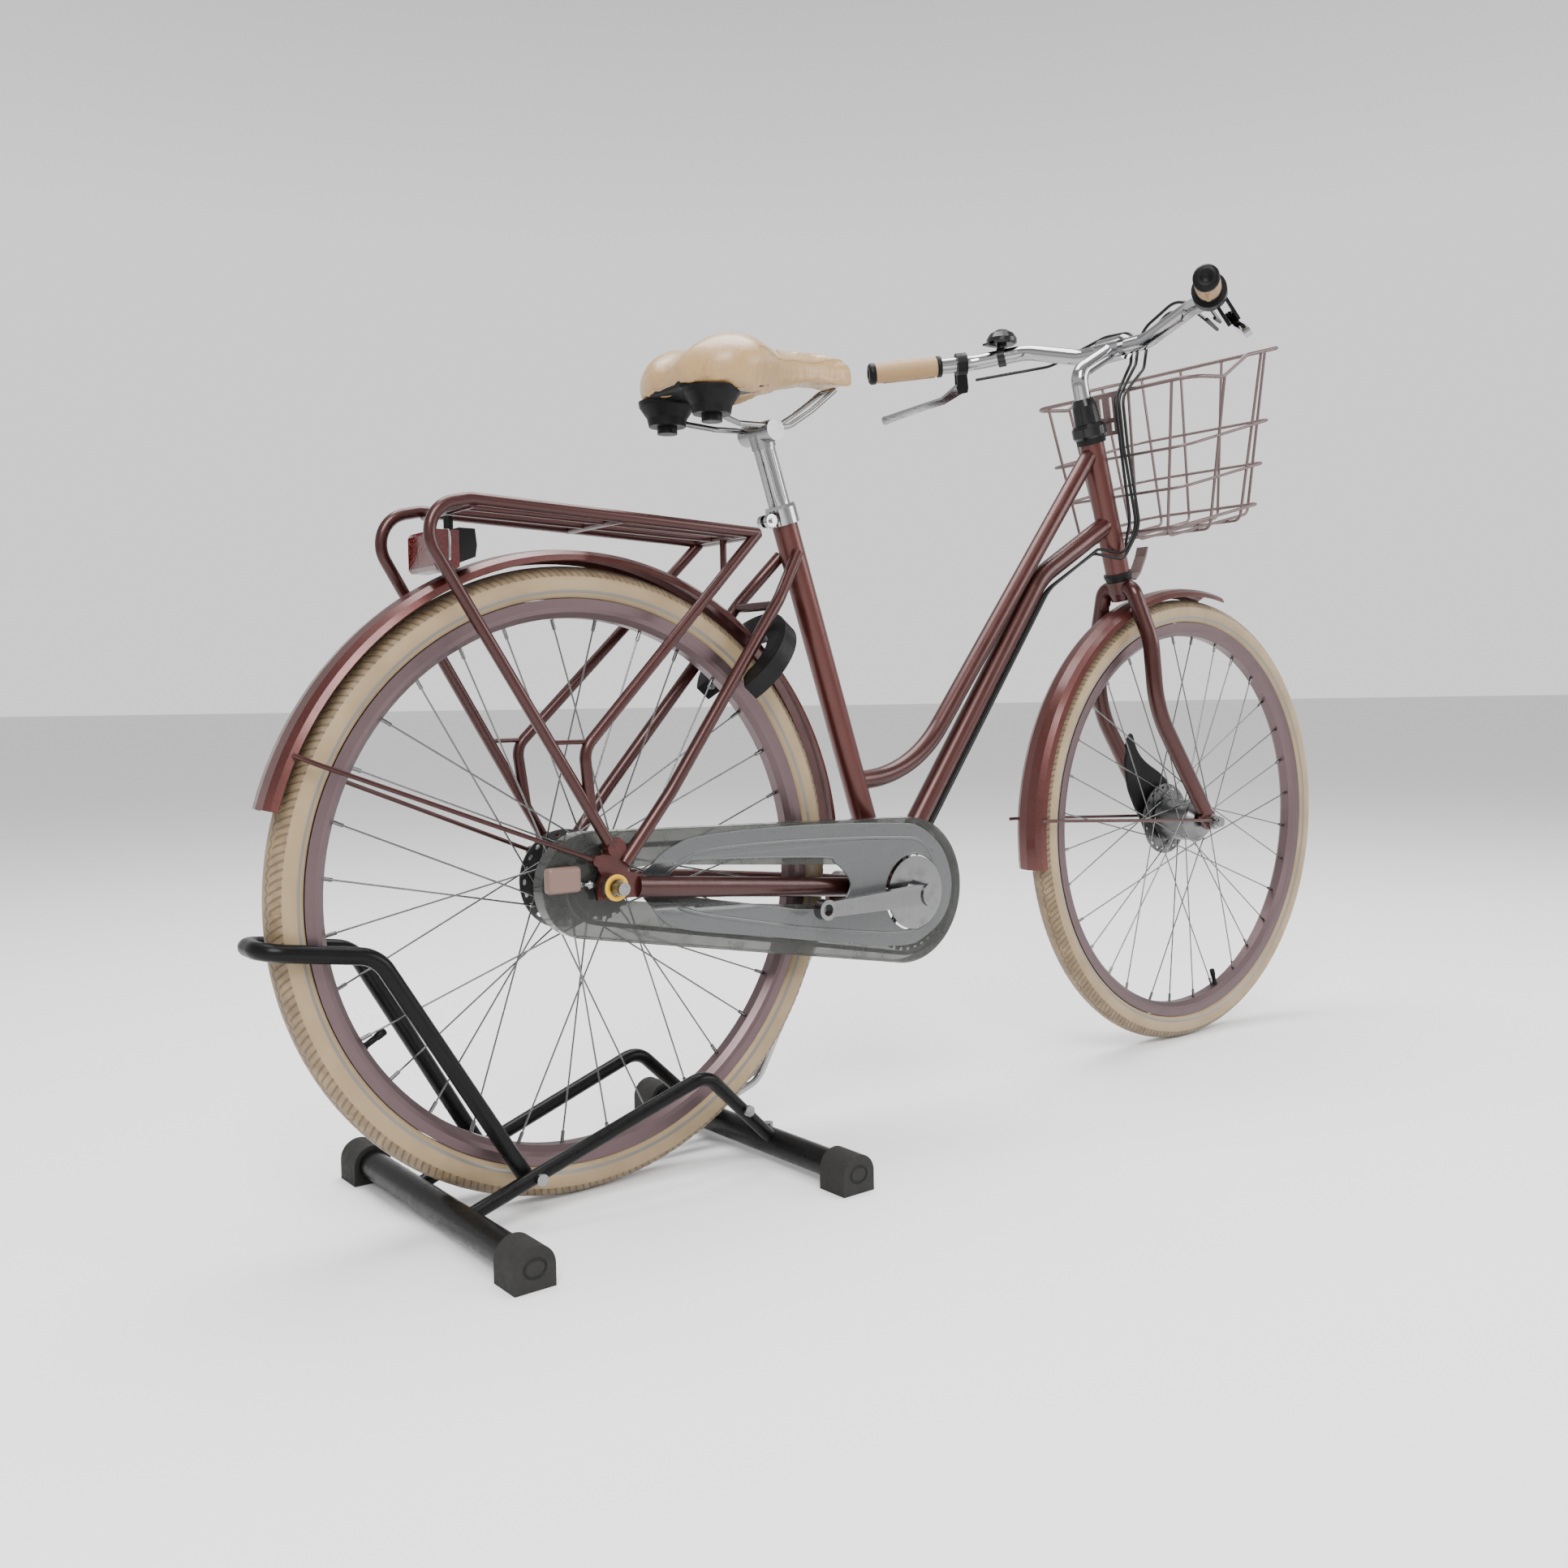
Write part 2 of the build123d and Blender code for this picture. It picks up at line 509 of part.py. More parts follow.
with BuildPart() as seatpost:
    bar(seat(380), seat(586), SEATPOST_RADIUS)
    for flute in range(10):
        angle = radians(36 * flute)
        offset = Vector(0, 1, 0) * cos(angle) * 14.2 + SEAT_DIR.cross(LEFT_DIR) * sin(angle) * 14.2
        bar(seat(SEAT_TUBE_LENGTH + 8) + offset, seat(584) + offset, 1.6, mode=Mode.SUBTRACT)

with BuildPart() as saddle_frame:
    bar(seat(586.1), seat(604), 15)
    bar(CLAMP + Vector(0, -30, 3), CLAMP + Vector(0, 30, 3), 13)
    for side in (-1, 1):
        bent([at(372, side * 14, 936), at(330, side * 20, 905), at(290, side * 22, 880),
              at(215, side * 24, 876), at(150, side * 44, 884)], 3.5, [30, 30, 20])
    bar(at(372, -14, 936), at(372, 14, 936), 3.5)

with BuildPart() as saddle_springs:
    for side in (-1, 1):
        turned(at(160, side * 46, 0), Vector(0, 0, 1),
               [(868, 0), (868, 12), (876, 12), (876.5, 22), (886, 24), (899, 33), (905.2, 34), (905.2, 0)])
        bar(at(215, side * 24, 876), at(150, side * 44, 884), 3.6, mode=Mode.SUBTRACT)
        bent([at(372, side * 14, 936), at(330, side * 20, 905), at(290, side * 22, 880),
              at(215, side * 24, 876), at(150, side * 44, 884)], 3.6, [30, 30, 20], mode=Mode.SUBTRACT)

# Saddle stations: x, half width, underside, top at the middle, top over the sit bones.
SADDLE = [(118, 40, 911, 929, 932), (131, 68, 908, 944, 950), (152, 88, 907, 953, 961), (184, 96, 909, 958, 967),
          (222, 84, 918, 961, 967), (268, 54, 930, 966, 967), (318, 34, 940, 973, 972),
          (368, 28, 948, 979, 977), (404, 20, 953, 974, 972)]


def saddle_section(station, inset, drop):
    x, half, low, middle, lobe = station
    half = half - inset
    with BuildSketch(Plane(origin=at(x, 0, 0), x_dir=(0, 1, 0), z_dir=(1, 0, 0))) as face:
        with BuildLine():
            if drop:
                Polyline((-half, low - drop), (half, low - drop), (half, low - 0.3), (-half, low - 0.3),
                         close=True)
            else:
                shoulder = low + (lobe - low) * 0.55
                Spline((-half * 0.94, low), (-half, shoulder), (-half * 0.62, lobe), (0, middle),
                       (half * 0.62, lobe), (half, shoulder), (half * 0.94, low))
                Line((half * 0.94, low), (-half * 0.94, low))
        make_face()
    return face.sketch


with BuildPart() as saddle_cover:
    loft([saddle_section(station, 0, 0) for station in SADDLE])

with BuildPart() as saddle_base:
    loft([saddle_section(station, 5, 9) for station in SADDLE])
    for side in (-1, 1):
        turned(at(160, side * 46, 0), Vector(0, 0, 1), [(880, 0), (880, 34.3), (920, 34.3), (920, 0)],
               mode=Mode.SUBTRACT)
        bent([at(372, side * 14, 936), at(330, side * 20, 905), at(290, side * 22, 880),
              at(215, side * 24, 876), at(150, side * 44, 884)], 3.7, [30, 30, 20], mode=Mode.SUBTRACT)
    bar(at(372, -20, 936), at(372, 20, 936), 3.7, mode=Mode.SUBTRACT)

# ------------------------------------------------------------------ fork and front end
CROWN = steer(-26)

with BuildPart() as fork:
    bar(steer(-40), steer(HEAD_TUBE_LENGTH + 58), STEERER_RADIUS)
    turned(steer(0), STEER_DIR, [(-42, 0), (-42, 17), (-30, 20), (-12, 20), (-12, 0)])
    for side in (-1, 1):
        bent([steer(-24), steer(-24, -6, side * 26), at(958, side * 51, 632), at(968, side * 54, 528),
              at(1084, side * 55.5, 371)], 12.3, [16, 90, 150])
        plate(at(WHEELBASE, side * 55, TYRE_RADIUS), [(-30, 8), (-12, 26), (6, 14), (12, 4), (12, -12),
                                                      (-12, -12)], 5)
        bar(at(WHEELBASE, side * 50, TYRE_RADIUS), at(WHEELBASE, side * 60, TYRE_RADIUS), 5.1,
            mode=Mode.SUBTRACT)
    ring_about_y(FRONT_AXLE, [(GUARD_RADIUS + 6, 29), (GUARD_RADIUS + 6, -29), (250, -29), (250, 29)],
                 60, 120, mode=Mode.SUBTRACT)

with BuildPart() as front_axle:
    bar(FRONT_AXLE - LEFT_DIR * 72, FRONT_AXLE + LEFT_DIR * 72, 5)
    for side in (-1, 1):
        bar(FRONT_AXLE + LEFT_DIR * side * (48.5 if side > 0 else 44.5), FRONT_AXLE + LEFT_DIR * side * 52.4, 9)
        bar(FRONT_AXLE + LEFT_DIR * side * 57.6, FRONT_AXLE + LEFT_DIR * side * 60, 12)
        with BuildSketch(Plane(origin=FRONT_AXLE + LEFT_DIR * side * 60, z_dir=(0, side, 0))) as nut:
            RegularPolygon(9, 6)
        extrude(nut.sketch, amount=11)
        bar(FRONT_AXLE + LEFT_DIR * side * 70, FRONT_AXLE + LEFT_DIR * side * 75, 7.2)

with BuildPart() as front_mudguard:
    guard(FRONT_AXLE, 78, 110)

with BuildPart() as front_mudguard_stays:
    for side in (-1, 1):
        bent([at(737, side * 30.5, 372), at(762, side * 34, 371), at(1096, side * 64, 353)], 2.5, 40)
        bar(at(1098, side * 61.0, 353), at(1098, side * 66.5, 353), 5)
    for side in (-1, 1):
        bar(FRONT_AXLE - LEFT_DIR * 80, FRONT_AXLE + LEFT_DIR * 80, 12.2, mode=Mode.SUBTRACT)

with BuildPart() as headset_nut:
    turned(steer(HEAD_TUBE_LENGTH), STEER_DIR,
           [(8.4, STEERER_RADIUS), (8.4, 23), (12, 25.5), (24, 25.5), (29, 22), (30, 19.5), (56, 18),
            (66, 15), (66, STEERER_RADIUS)])

STEM_CLAMP = at(933, 0, 1068)

with BuildPart() as stem:
    bent([steer(HEAD_TUBE_LENGTH + 58.2), steer(HEAD_TUBE_LENGTH + 104), STEM_CLAMP], 12.4, 22)
    bar(STEM_CLAMP - LEFT_DIR * 22, STEM_CLAMP + LEFT_DIR * 22, 18)
    bar(STEM_CLAMP - LEFT_DIR * 30, STEM_CLAMP + LEFT_DIR * 30, BAR_RADIUS, mode=Mode.SUBTRACT)


def bar_point(side, index):
    shape = [(725, 310, 1063), (864, 220, 1082), (914, 152, 1092), (933, 62, 1068)]
    x, y, z = shape[index]
    return at(x, side * y, z)


def hand(side, t):
    """Point on the grip's axis, t in from the bar's end."""
    return along(bar_point(side, 0), bar_point(side, 1), t)


with BuildPart() as handlebar:
    bent([bar_point(1, 0), bar_point(1, 1), bar_point(1, 2), bar_point(1, 3),
          bar_point(-1, 3), bar_point(-1, 2), bar_point(-1, 1), bar_point(-1, 0)],
         BAR_RADIUS, [50, 50, 60, 60, 50, 50], bore=9.6)

with BuildPart() as grips:
    for side in (-1, 1):
        reach = 112 if side > 0 else 92
        bar(hand(side, 0), hand(side, reach), GRIP_RADIUS, bore=BAR_RADIUS)
        bar(hand(side, -5), hand(side, 0), GRIP_RADIUS)

with BuildPart() as twist_shifter:
    bar(hand(-1, 93), hand(-1, 128), 22.5, bore=BAR_RADIUS + RUNNING)

GRIP_OUT = (bar_point(1, 0) - bar_point(1, 1)).normalized()


def lever_pivot(side):
    return at(866, side * 250, 1050)


def lever_tip(side):
    return at(776, side * 334, 1000)


def lever_axis(side):
    out = (bar_point(side, 0) - bar_point(side, 1)).normalized()
    return (lever_tip(side) - lever_pivot(side)).cross(out).normalized()


with BuildPart() as lever_clamps:
    for side in (-1, 1):
        middle = 145 if side > 0 else 142
        axis = lever_axis(side)
        stalk = hand(side, middle) - lever_pivot(side)
        bar(hand(side, middle - 8), hand(side, middle + 8), 17.5)
        for ear in (-7, 7):
            plate(lever_pivot(side) + axis * ear, [(-8, -7), (0, -9), (stalk.length - 4, -8),
                                                   (stalk.length - 4, 8), (0, 9), (-8, 7)], 4,
                  normal=axis, right=stalk)
        bar(hand(side, 100), hand(side, 160), BAR_RADIUS, mode=Mode.SUBTRACT)


def brake_lever(side):
    """Lever blade with its pivot boss and rounded tip."""
    axis = lever_axis(side)
    pivot = lever_pivot(side)
    reach = lever_tip(side) - pivot
    with BuildSketch(Plane(origin=pivot, x_dir=reach, z_dir=axis)) as blade:
        with BuildLine():
            Polyline((0, -8.5), (36, -14), (70, -9.5), (reach.length - 3, -5.2), (reach.length - 3, 5.2),
                     (70, -0.5), (36, -4), (0, 8.5), close=True)
        make_face()
        Circle(9)
        with Locations((reach.length, 0)):
            Circle(6)
    extrude(blade.sketch, amount=4.6, both=True)


with BuildPart() as left_brake_lever:
    brake_lever(1)

with BuildPart() as right_brake_lever:
    mirror(left_brake_lever.part, about=Plane.XZ)

BELL_SEAT = along(bar_point(1, 1), bar_point(1, 2), 44)
BELL_RUN = (bar_point(1, 2) - bar_point(1, 1)).normalized()
BELL_FOOT = BELL_SEAT + Vector(0, 0, 19)

with BuildPart() as bell:
    bar(BELL_SEAT - BELL_RUN * 6, BELL_SEAT + BELL_RUN * 6, 15)
    turned(BELL_FOOT, Vector(0, 0, 1), [(-8, 0), (-8, 8), (0.2, 8), (0.2, 20), (3, 24), (9, 24), (17, 19),
                                        (23, 9), (24, 0)])
    bar(BELL_SEAT - BELL_RUN * 16, BELL_SEAT + BELL_RUN * 16, BAR_RADIUS, mode=Mode.SUBTRACT)

with BuildPart() as bell_lever:
    plate(BELL_FOOT + Vector(-20, 4, -2.6), [(-14, -5), (6, -5), (10, 0), (6, 5), (-14, 5)], 3.0,
          normal=Vector(0, 0, 1))

# Wire basket, square to the steering axis, with a raised front rim.
RIM_REAR = (920, 148, 1000)
RIM_FRONT = (1152, 148, 1074)
FLOOR_REAR = (958, 104, 790)
FLOOR_FRONT = (1160, 104, 838)


def basket_point(u, v, w):
    """u 0..1 rear to front, v -1..1 right to left, w 0..1 floor to rim."""
    low = [a + (b - a) * u for a, b in zip(FLOOR_REAR, FLOOR_FRONT)]
    high = [a + (b - a) * u for a, b in zip(RIM_REAR, RIM_FRONT)]
    x, y, z = [a + (b - a) * w for a, b in zip(low, high)]
    return at(x, v * y, z)


with BuildPart() as basket:
    for w, wire, round_off in ((0.56, 2.2, 26), (0.29, 2.2, 24), (0.03, 2.4, 22)):
        corners = [basket_point(0, 1, w), basket_point(1, 1, w), basket_point(1, -1, w), basket_point(0, -1, w)]
        start = (corners[0] + corners[3]) * 0.5
        bent([start, corners[0], corners[1], corners[2], corners[3], start + LEFT_DIR * 0.01], wire, round_off)
    rear = basket_point(0, 0, 1)
    raised = [basket_point(0, 1, 1), basket_point(0.34, 1, 0.93), basket_point(0.58, 1, 1.02), basket_point(1, 1, 1),
              basket_point(1, -1, 1), basket_point(0.58, -1, 1.02), basket_point(0.34, -1, 0.93),
              basket_point(0, -1, 1)]
    bent([rear] + raised + [rear + LEFT_DIR * 0.01], 2.9, [30, 14, 14, 30, 30, 14, 14, 30])
    for v in (-0.78, -0.26, 0.26, 0.78):
        bent([basket_point(0, v, 1), basket_point(0, v, -0.03), basket_point(1, v, -0.03), basket_point(1, v, 1)],
             2.2, 12)
    for u, top in ((0.36, 0.93), (0.74, 1.0)):
        bent([basket_point(u, 1, top), basket_point(u, 1, -0.045), basket_point(u, -1, -0.045),
              basket_point(u, -1, top)], 2.2, 12)

BACK_UP = (at(920, 0, 1000) - at(958, 0, 790)).normalized()
BACK_NORMAL = LEFT_DIR.cross(BACK_UP)
BACK_PLATE = at(925.4, 0, 970) - BACK_NORMAL * 5.6

with BuildPart() as basket_bracket:
    plate(BACK_PLATE, [(-26, -30), (26, -30), (26, 30), (-26, 30)], 2.4, normal=BACK_NORMAL, right=LEFT_DIR)
    for left, up, long in ((-9, 10, 15), (9, 10, 15), (-9, -18, 6), (9, -18, 6)):
        plate(BACK_PLATE + LEFT_DIR * left + BACK_UP * up,
              [(-2.5, -long), (2.5, -long), (2.5, long), (-2.5, long)], 6, normal=BACK_NORMAL, right=LEFT_DIR,
              mode=Mode.SUBTRACT)
    bar(steer(226, 24.6), BACK_PLATE - BACK_NORMAL * 1.2 - BACK_UP * 8, 3.5)
    plate(at(0, 0, 0), [(1003, 778), (1006, 778), (1001, 762), (987, 736), (976, 726), (974.2, 728),
                        (984.5, 738), (998, 763)], 20, normal=WHEEL_AXIS)

# Control cables: the front brake's turns with the fork, the other two run on to the frame.
CABLE_RADIUS = 2.3

with BuildPart() as steering_cables:
    bent([at(869, 222, 1056), at(944, 132, 1070), at(966, 40, 1100), at(970, -8, 1098), at(950, -20, 1046),
          at(900, -30, 985), at(914, -30, 915), at(938, -28, 812), at(962, 0, 775), at(963, 30, 728),
          at(985, 64, 645), at(986, 72, 540), at(1046, 74, 440)],
         CABLE_RADIUS, [40, 40, 18, 24, 25, 60, 40, 16, 16, 34, 50])

with BuildPart() as frame_cables:
    bent([at(869, -222, 1056), at(915, -200, 1062), at(940, -160, 1100), at(952, -96, 1120),
          at(974, -18, 1096), at(952, -28, 1044), at(897, -39, 985), at(909, -39, 915), at(944, -36, 800),
          at(926, -26, 762), at(890, -7, 768), at(781, -7, 705), at(512, -7, 340)],
         CABLE_RADIUS, [16, 24, 50, 26, 26, 25, 60, 50, 12, 10, 80])
    bent([at(846, -226, 1050), at(905, -204, 1048), at(934, -150, 1088), at(948, -90, 1106),
          at(968, -38, 1086), at(950, -44, 1034), at(892, -50, 985), at(904, -50, 915), at(938, -46, 800),
          at(920, -30, 752), at(888, 0, 762), at(779, 0, 702), at(514, 0, 342)],
         CABLE_RADIUS, [26, 34, 40, 22, 26, 25, 60, 50, 12, 10, 80])

PARTS = [
    (stand_bars, "stand_bars"), (stand_end_caps, "stand_end_caps"), (stand_rails, "stand_rails"),
    (stand_hoop, "stand_hoop"), (stand_bolts, "stand_bolts"),
    (rear_tyre, "rear_tyre"), (rear_rim, "rear_rim"), (rear_spokes, "rear_spokes"), (rear_hub, "rear_hub"),
    (front_tyre, "front_tyre"), (front_rim, "front_rim"), (front_spokes, "front_spokes"),
    (front_hub, "front_hub"), (bottom_bracket, "bottom_bracket"), (seat_tube, "seat_tube"),
    (head_tube, "head_tube"), (upper_tube, "upper_tube"), (down_tube, "down_tube"),
    (chainstays, "chainstays"), (seatstays, "seatstays"), (headset_cups, "headset_cups"),
    (seat_clamp, "seat_clamp"), (rear_mudguard, "rear_mudguard"),
    (rear_mudguard_stays, "rear_mudguard_stays"), (rear_carrier, "rear_carrier"),
    (tail_light, "tail_light"), (tail_light_lens, "tail_light_lens"), (chainring, "chainring"),
    (crank_axle, "crank_axle"), (cranks, "cranks"), (rear_sprocket, "rear_sprocket"), (chain, "chain"),
    (chaincase, "chaincase"), (rear_axle, "rear_axle"), (lock_body, "lock_body"),
    (lock_shackle, "lock_shackle"), (kickstand, "kickstand"), (seatpost, "seatpost"),
    (saddle_frame, "saddle_frame"), (saddle_springs, "saddle_springs"), (saddle_cover, "saddle_cover"),
    (saddle_base, "saddle_base"), (fork, "fork"), (front_axle, "front_axle"),
    (front_mudguard, "front_mudguard"), (front_mudguard_stays, "front_mudguard_stays"),
    (headset_nut, "headset_nut"), (stem, "stem"), (handlebar, "handlebar"), (grips, "grips"),
    (twist_shifter, "twist_shifter"), (lever_clamps, "lever_clamps"),
    (left_brake_lever, "left_brake_lever"), (right_brake_lever, "right_brake_lever"), (bell, "bell"),
    (bell_lever, "bell_lever"), (basket, "basket"), (basket_bracket, "basket_bracket"),
    (steering_cables, "steering_cables"), (frame_cables, "frame_cables"),
]

for piece, name in PARTS:
    keep(piece, name)
    print(name, len(piece.part.solids()), round(piece.part.volume / 1000, 2))
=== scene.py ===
"""Looks for the bicycle in its stand: materials, soft saddle, tread, grips, cables, light and camera."""
from math import cos, pi, radians, sin

import bmesh
import bpy
import numpy as np
from mathutils import Matrix, Vector


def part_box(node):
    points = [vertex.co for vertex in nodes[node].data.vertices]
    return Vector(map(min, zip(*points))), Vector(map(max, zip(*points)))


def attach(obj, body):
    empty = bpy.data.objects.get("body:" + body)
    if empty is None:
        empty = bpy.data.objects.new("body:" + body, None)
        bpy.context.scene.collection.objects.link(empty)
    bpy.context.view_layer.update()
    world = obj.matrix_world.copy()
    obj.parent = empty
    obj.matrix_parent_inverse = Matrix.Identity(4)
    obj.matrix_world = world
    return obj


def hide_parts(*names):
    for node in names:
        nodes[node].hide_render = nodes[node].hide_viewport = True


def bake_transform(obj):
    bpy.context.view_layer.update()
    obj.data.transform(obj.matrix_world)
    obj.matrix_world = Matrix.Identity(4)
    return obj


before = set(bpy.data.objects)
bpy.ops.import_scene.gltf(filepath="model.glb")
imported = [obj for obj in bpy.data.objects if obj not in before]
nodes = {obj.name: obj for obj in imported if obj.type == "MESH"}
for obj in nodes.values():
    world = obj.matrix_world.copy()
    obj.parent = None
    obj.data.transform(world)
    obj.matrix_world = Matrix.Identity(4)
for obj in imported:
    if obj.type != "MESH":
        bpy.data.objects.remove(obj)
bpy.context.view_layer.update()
SCENE = bpy.context.scene


# ---------------------------------------------------------------- places, worked out from the frame
def middle(node):
    low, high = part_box(node)
    return (low + high) / 2


REAR_AXLE = middle("rear_rim")
FRONT_AXLE = middle("front_rim")
CRANK_CENTRE = middle("chainring")
TYRE_RADIUS = (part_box("rear_tyre")[1].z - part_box("rear_tyre")[0].z) / 2
TYRE_HALF = (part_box("rear_tyre")[1].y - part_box("rear_tyre")[0].y) / 2
CASE_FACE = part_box("chaincase")[0].y


def points_of(node, side=0):
    points = np.array([v.co for v in nodes[node].data.vertices])
    if side:
        points = points[points[:, 1] * side > 0]
    return points


def axis_of(points):
    """Ends and radius of a roughly round, straight piece."""
    centre = (points.max(0) + points.min(0)) / 2
    for _ in range(3):
        _, _, rows = np.linalg.svd(points - points.mean(0), full_matrices=False)
        direction = rows[0] / np.linalg.norm(rows[0])
        along = (points - centre) @ direction
        centre = centre + direction * (along.max() + along.min()) / 2
    along = (points - centre) @ direction
    off = points - centre - np.outer(along, direction)
    centre = centre + (off.max(0) + off.min(0)) / 2
    off = points - centre - np.outer((points - centre) @ direction, direction)
    reach = along.max()
    radius = np.linalg.norm(off, axis=1).max()
    return Vector(centre - direction * reach), Vector(centre + direction * reach), radius


# ---------------------------------------------------------------- node materials
class Finish:
    """A Principled material and short ways to wire textures into it."""

    def __init__(self, name, **values):
        self.material = bpy.data.materials.new(name)
        self.material.use_nodes = True
        self.tree = self.material.node_tree
        self.shader = self.tree.nodes["Principled BSDF"]
        for key, value in values.items():
            self.shader.inputs[key].default_value = value
        self.place = self.add("ShaderNodeTexCoord").outputs["Object"]

    def add(self, kind, inputs=None, **settings):
        node = self.tree.nodes.new(kind)
        for key, value in settings.items():
            setattr(node, key, value)
        for key, value in (inputs or {}).items():
            if isinstance(value, bpy.types.NodeSocket):
                self.tree.links.new(value, node.inputs[key])
            else:
                node.inputs[key].default_value = value
        return node

    def math(self, operation, a, b=0.0, c=0.0):
        return self.add("ShaderNodeMath", {0: a, 1: b, 2: c}, operation=operation).outputs[0]

    def noise(self, scale, detail=4.0, place=None, rough=0.55):
        return self.add("ShaderNodeTexNoise", {"Vector": place or self.place, "Scale": scale,
                                               "Detail": detail, "Roughness": rough}).outputs["Fac"]

    def cells(self, scale, place=None, feature="F1", output="Distance"):
        return self.add("ShaderNodeTexVoronoi", {"Vector": place or self.place, "Scale": scale},
                        feature=feature).outputs[output]

    def stretched(self, x, y, z):
        return self.add("ShaderNodeMapping", {"Vector": self.place, "Scale": (x, y, z)}).outputs[0]

    def ramp(self, value, low, high, bottom=0.0, top=1.0):
        return self.add("ShaderNodeMapRange", {"Value": value, "From Min": low, "From Max": high,
                                               "To Min": bottom, "To Max": top}, clamp=True).outputs[0]

    def mix(self, factor, first, second, kind="MIX"):
        node = self.add("ShaderNodeMix", data_type="RGBA", blend_type=kind)
        for socket, value in ((node.inputs[0], factor), (node.inputs[6], first), (node.inputs[7], second)):
            if isinstance(value, bpy.types.NodeSocket):
                self.tree.links.new(value, socket)
            else:
                socket.default_value = value if not isinstance(value, tuple) else (*value, 1.0)[:4]
        return node.outputs[2]

    def colour(self, socket):
        self.tree.links.new(socket, self.shader.inputs["Base Color"])

    def roughness(self, socket):
        self.tree.links.new(socket, self.shader.inputs["Roughness"])

    def bump(self, height, strength, distance):
        node = self.add("ShaderNodeBump", {"Height": height, "Strength": strength, "Distance": distance})
        self.tree.links.new(node.outputs[0], self.shader.inputs["Normal"])

    def edges(self, low=0.52, high=0.6):
        return self.ramp(self.add("ShaderNodeNewGeometry").outputs["Pointiness"], low, high)

    def around(self, centre):
        """(arc length, radius, sideways) about a wheel axle."""
        local = self.add("ShaderNodeSeparateXYZ", {0: self.place})
        x = self.math("SUBTRACT", local.outputs[0], centre.x)
        z = self.math("SUBTRACT", local.outputs[2], centre.z)
        radius = self.math("SQRT", self.math("ADD", self.math("MULTIPLY", x, x), self.math("MULTIPLY", z, z)))
        arc = self.math("MULTIPLY", self.math("ARCTAN2", z, x), TYRE_RADIUS)
        return arc, radius, self.math("SUBTRACT", local.outputs[1], centre.y)


def shade(colour, factor):
    return tuple(c * factor for c in colour)


def paint(name, base, light, flake=0.18):
    """Metallic paint under clear coat, with flakes and orange peel; the light colour is the paint's lit tone,
    giving painted glints on the flakes and a painted highlight along the edges.
    """
    m = Finish(name, Metallic=0.62, **{"Coat Weight": 0.32, "Coat Roughness": 0.18})
    flakes = m.ramp(m.cells(1500, output="Color"), 0.2, 0.9)
    cloud = m.ramp(m.noise(9, 3), 0.35, 0.68)
    # painted glints: the flake specks are mixed toward the lit tone
    body = m.mix(m.math("MULTIPLY", flakes, flake), base, light)
    body = m.mix(m.math("MULTIPLY", cloud, 0.22), body, shade(base, 0.66))
    grime = m.ramp(m.noise(70, 6), 0.62, 0.8, 0, 0.35)
    body = m.mix(grime, body, shade(base, 0.45))
    # painted highlight: convex edges are mixed toward the lit tone
    m.colour(m.mix(m.math("MULTIPLY", m.edges(0.54, 0.64), 0.3), body, light))
    m.roughness(m.ramp(m.noise(40, 5), 0.3, 0.75, 0.30, 0.46))
    m.bump(m.noise(620, 2), 0.12, 0.0006)
    return m.material


def metal(name, base, low, high, grain=(60, 60, 900), dirt_and_shade=0.25, bump=0.08):
    """Bare metal: drawn grain, cloudy polish, stains, and painted shade in the hollows."""
    m = Finish(name, Metallic=1.0)
    drawn = m.noise(1.0, 5, m.stretched(*grain))
    stain = m.ramp(m.noise(55, 6), 0.5, 0.78)
    body = m.mix(m.math("MULTIPLY", drawn, 0.35), base, shade(base, 0.7))
    # painted shade: concave spots (low Pointiness) are darkened together with the stains
    hollow_shade = m.ramp(m.add("ShaderNodeNewGeometry").outputs["Pointiness"], 0.5, 0.42)
    body = m.mix(m.math("MULTIPLY", m.math("MAXIMUM", stain, hollow_shade), dirt_and_shade), body, shade(base, 0.3))
    m.colour(body)
    wear = m.math("ADD", m.math("MULTIPLY", stain, 0.5), m.math("MULTIPLY", drawn, 0.6))
    m.roughness(m.ramp(wear, 0.1, 0.9, low, high))
    m.bump(drawn, bump, 0.0004)
    return m.material


def plastic(name, base, low, high, grain=900, bump=0.22, wear=0.25, dust=(0.3, 0.29, 0.27), **values):
    """Moulded plastic or rubber: fine spark texture, dust and pale rubbed edges."""
    m = Finish(name, **values)
    dusty = m.ramp(m.noise(38, 6), 0.5, 0.8)
    body = m.mix(m.math("MULTIPLY", dusty, wear * 0.6), base, dust)
    m.colour(m.mix(m.math("MULTIPLY", m.edges(0.53, 0.62), wear), body, dust))
    m.roughness(m.ramp(m.noise(120, 4), 0.3, 0.75, low, high))
    m.bump(m.cells(grain), bump, 0.0003)
    return m.material


def leather(name, base, dark, grain=420, gloss=(0.28, 0.48), coat=0.25):
    """Pebbled leather cloth with handling stains and painted shade in the crevices of the grain."""
    m = Finish(name, **{"Coat Weight": coat, "Coat Roughness": 0.25})
    pores = m.cells(grain, feature="DISTANCE_TO_EDGE")
    stain = m.ramp(m.noise(16, 6), 0.42, 0.72)
    spots = m.ramp(m.noise(130, 4), 0.58, 0.72)
    body = m.mix(m.math("MULTIPLY", stain, 0.45), base, dark)
    body = m.mix(m.math("MULTIPLY", spots, 0.22), body, shade(dark, 0.7))
    # painted shade: the crevices between the pebbles of the grain are darkened
    body = m.mix(m.ramp(pores, 0.06, 0.0, 0, 0.3), body, shade(dark, 0.75))
    m.colour(body)
    m.roughness(m.ramp(m.noise(60, 4), 0.3, 0.7, *gloss))
    height = m.math("ADD", m.ramp(pores, 0.0, 0.14), m.math("MULTIPLY", m.noise(90, 3), 0.5))
    m.bump(height, 0.3, 0.0005)
    return m.material


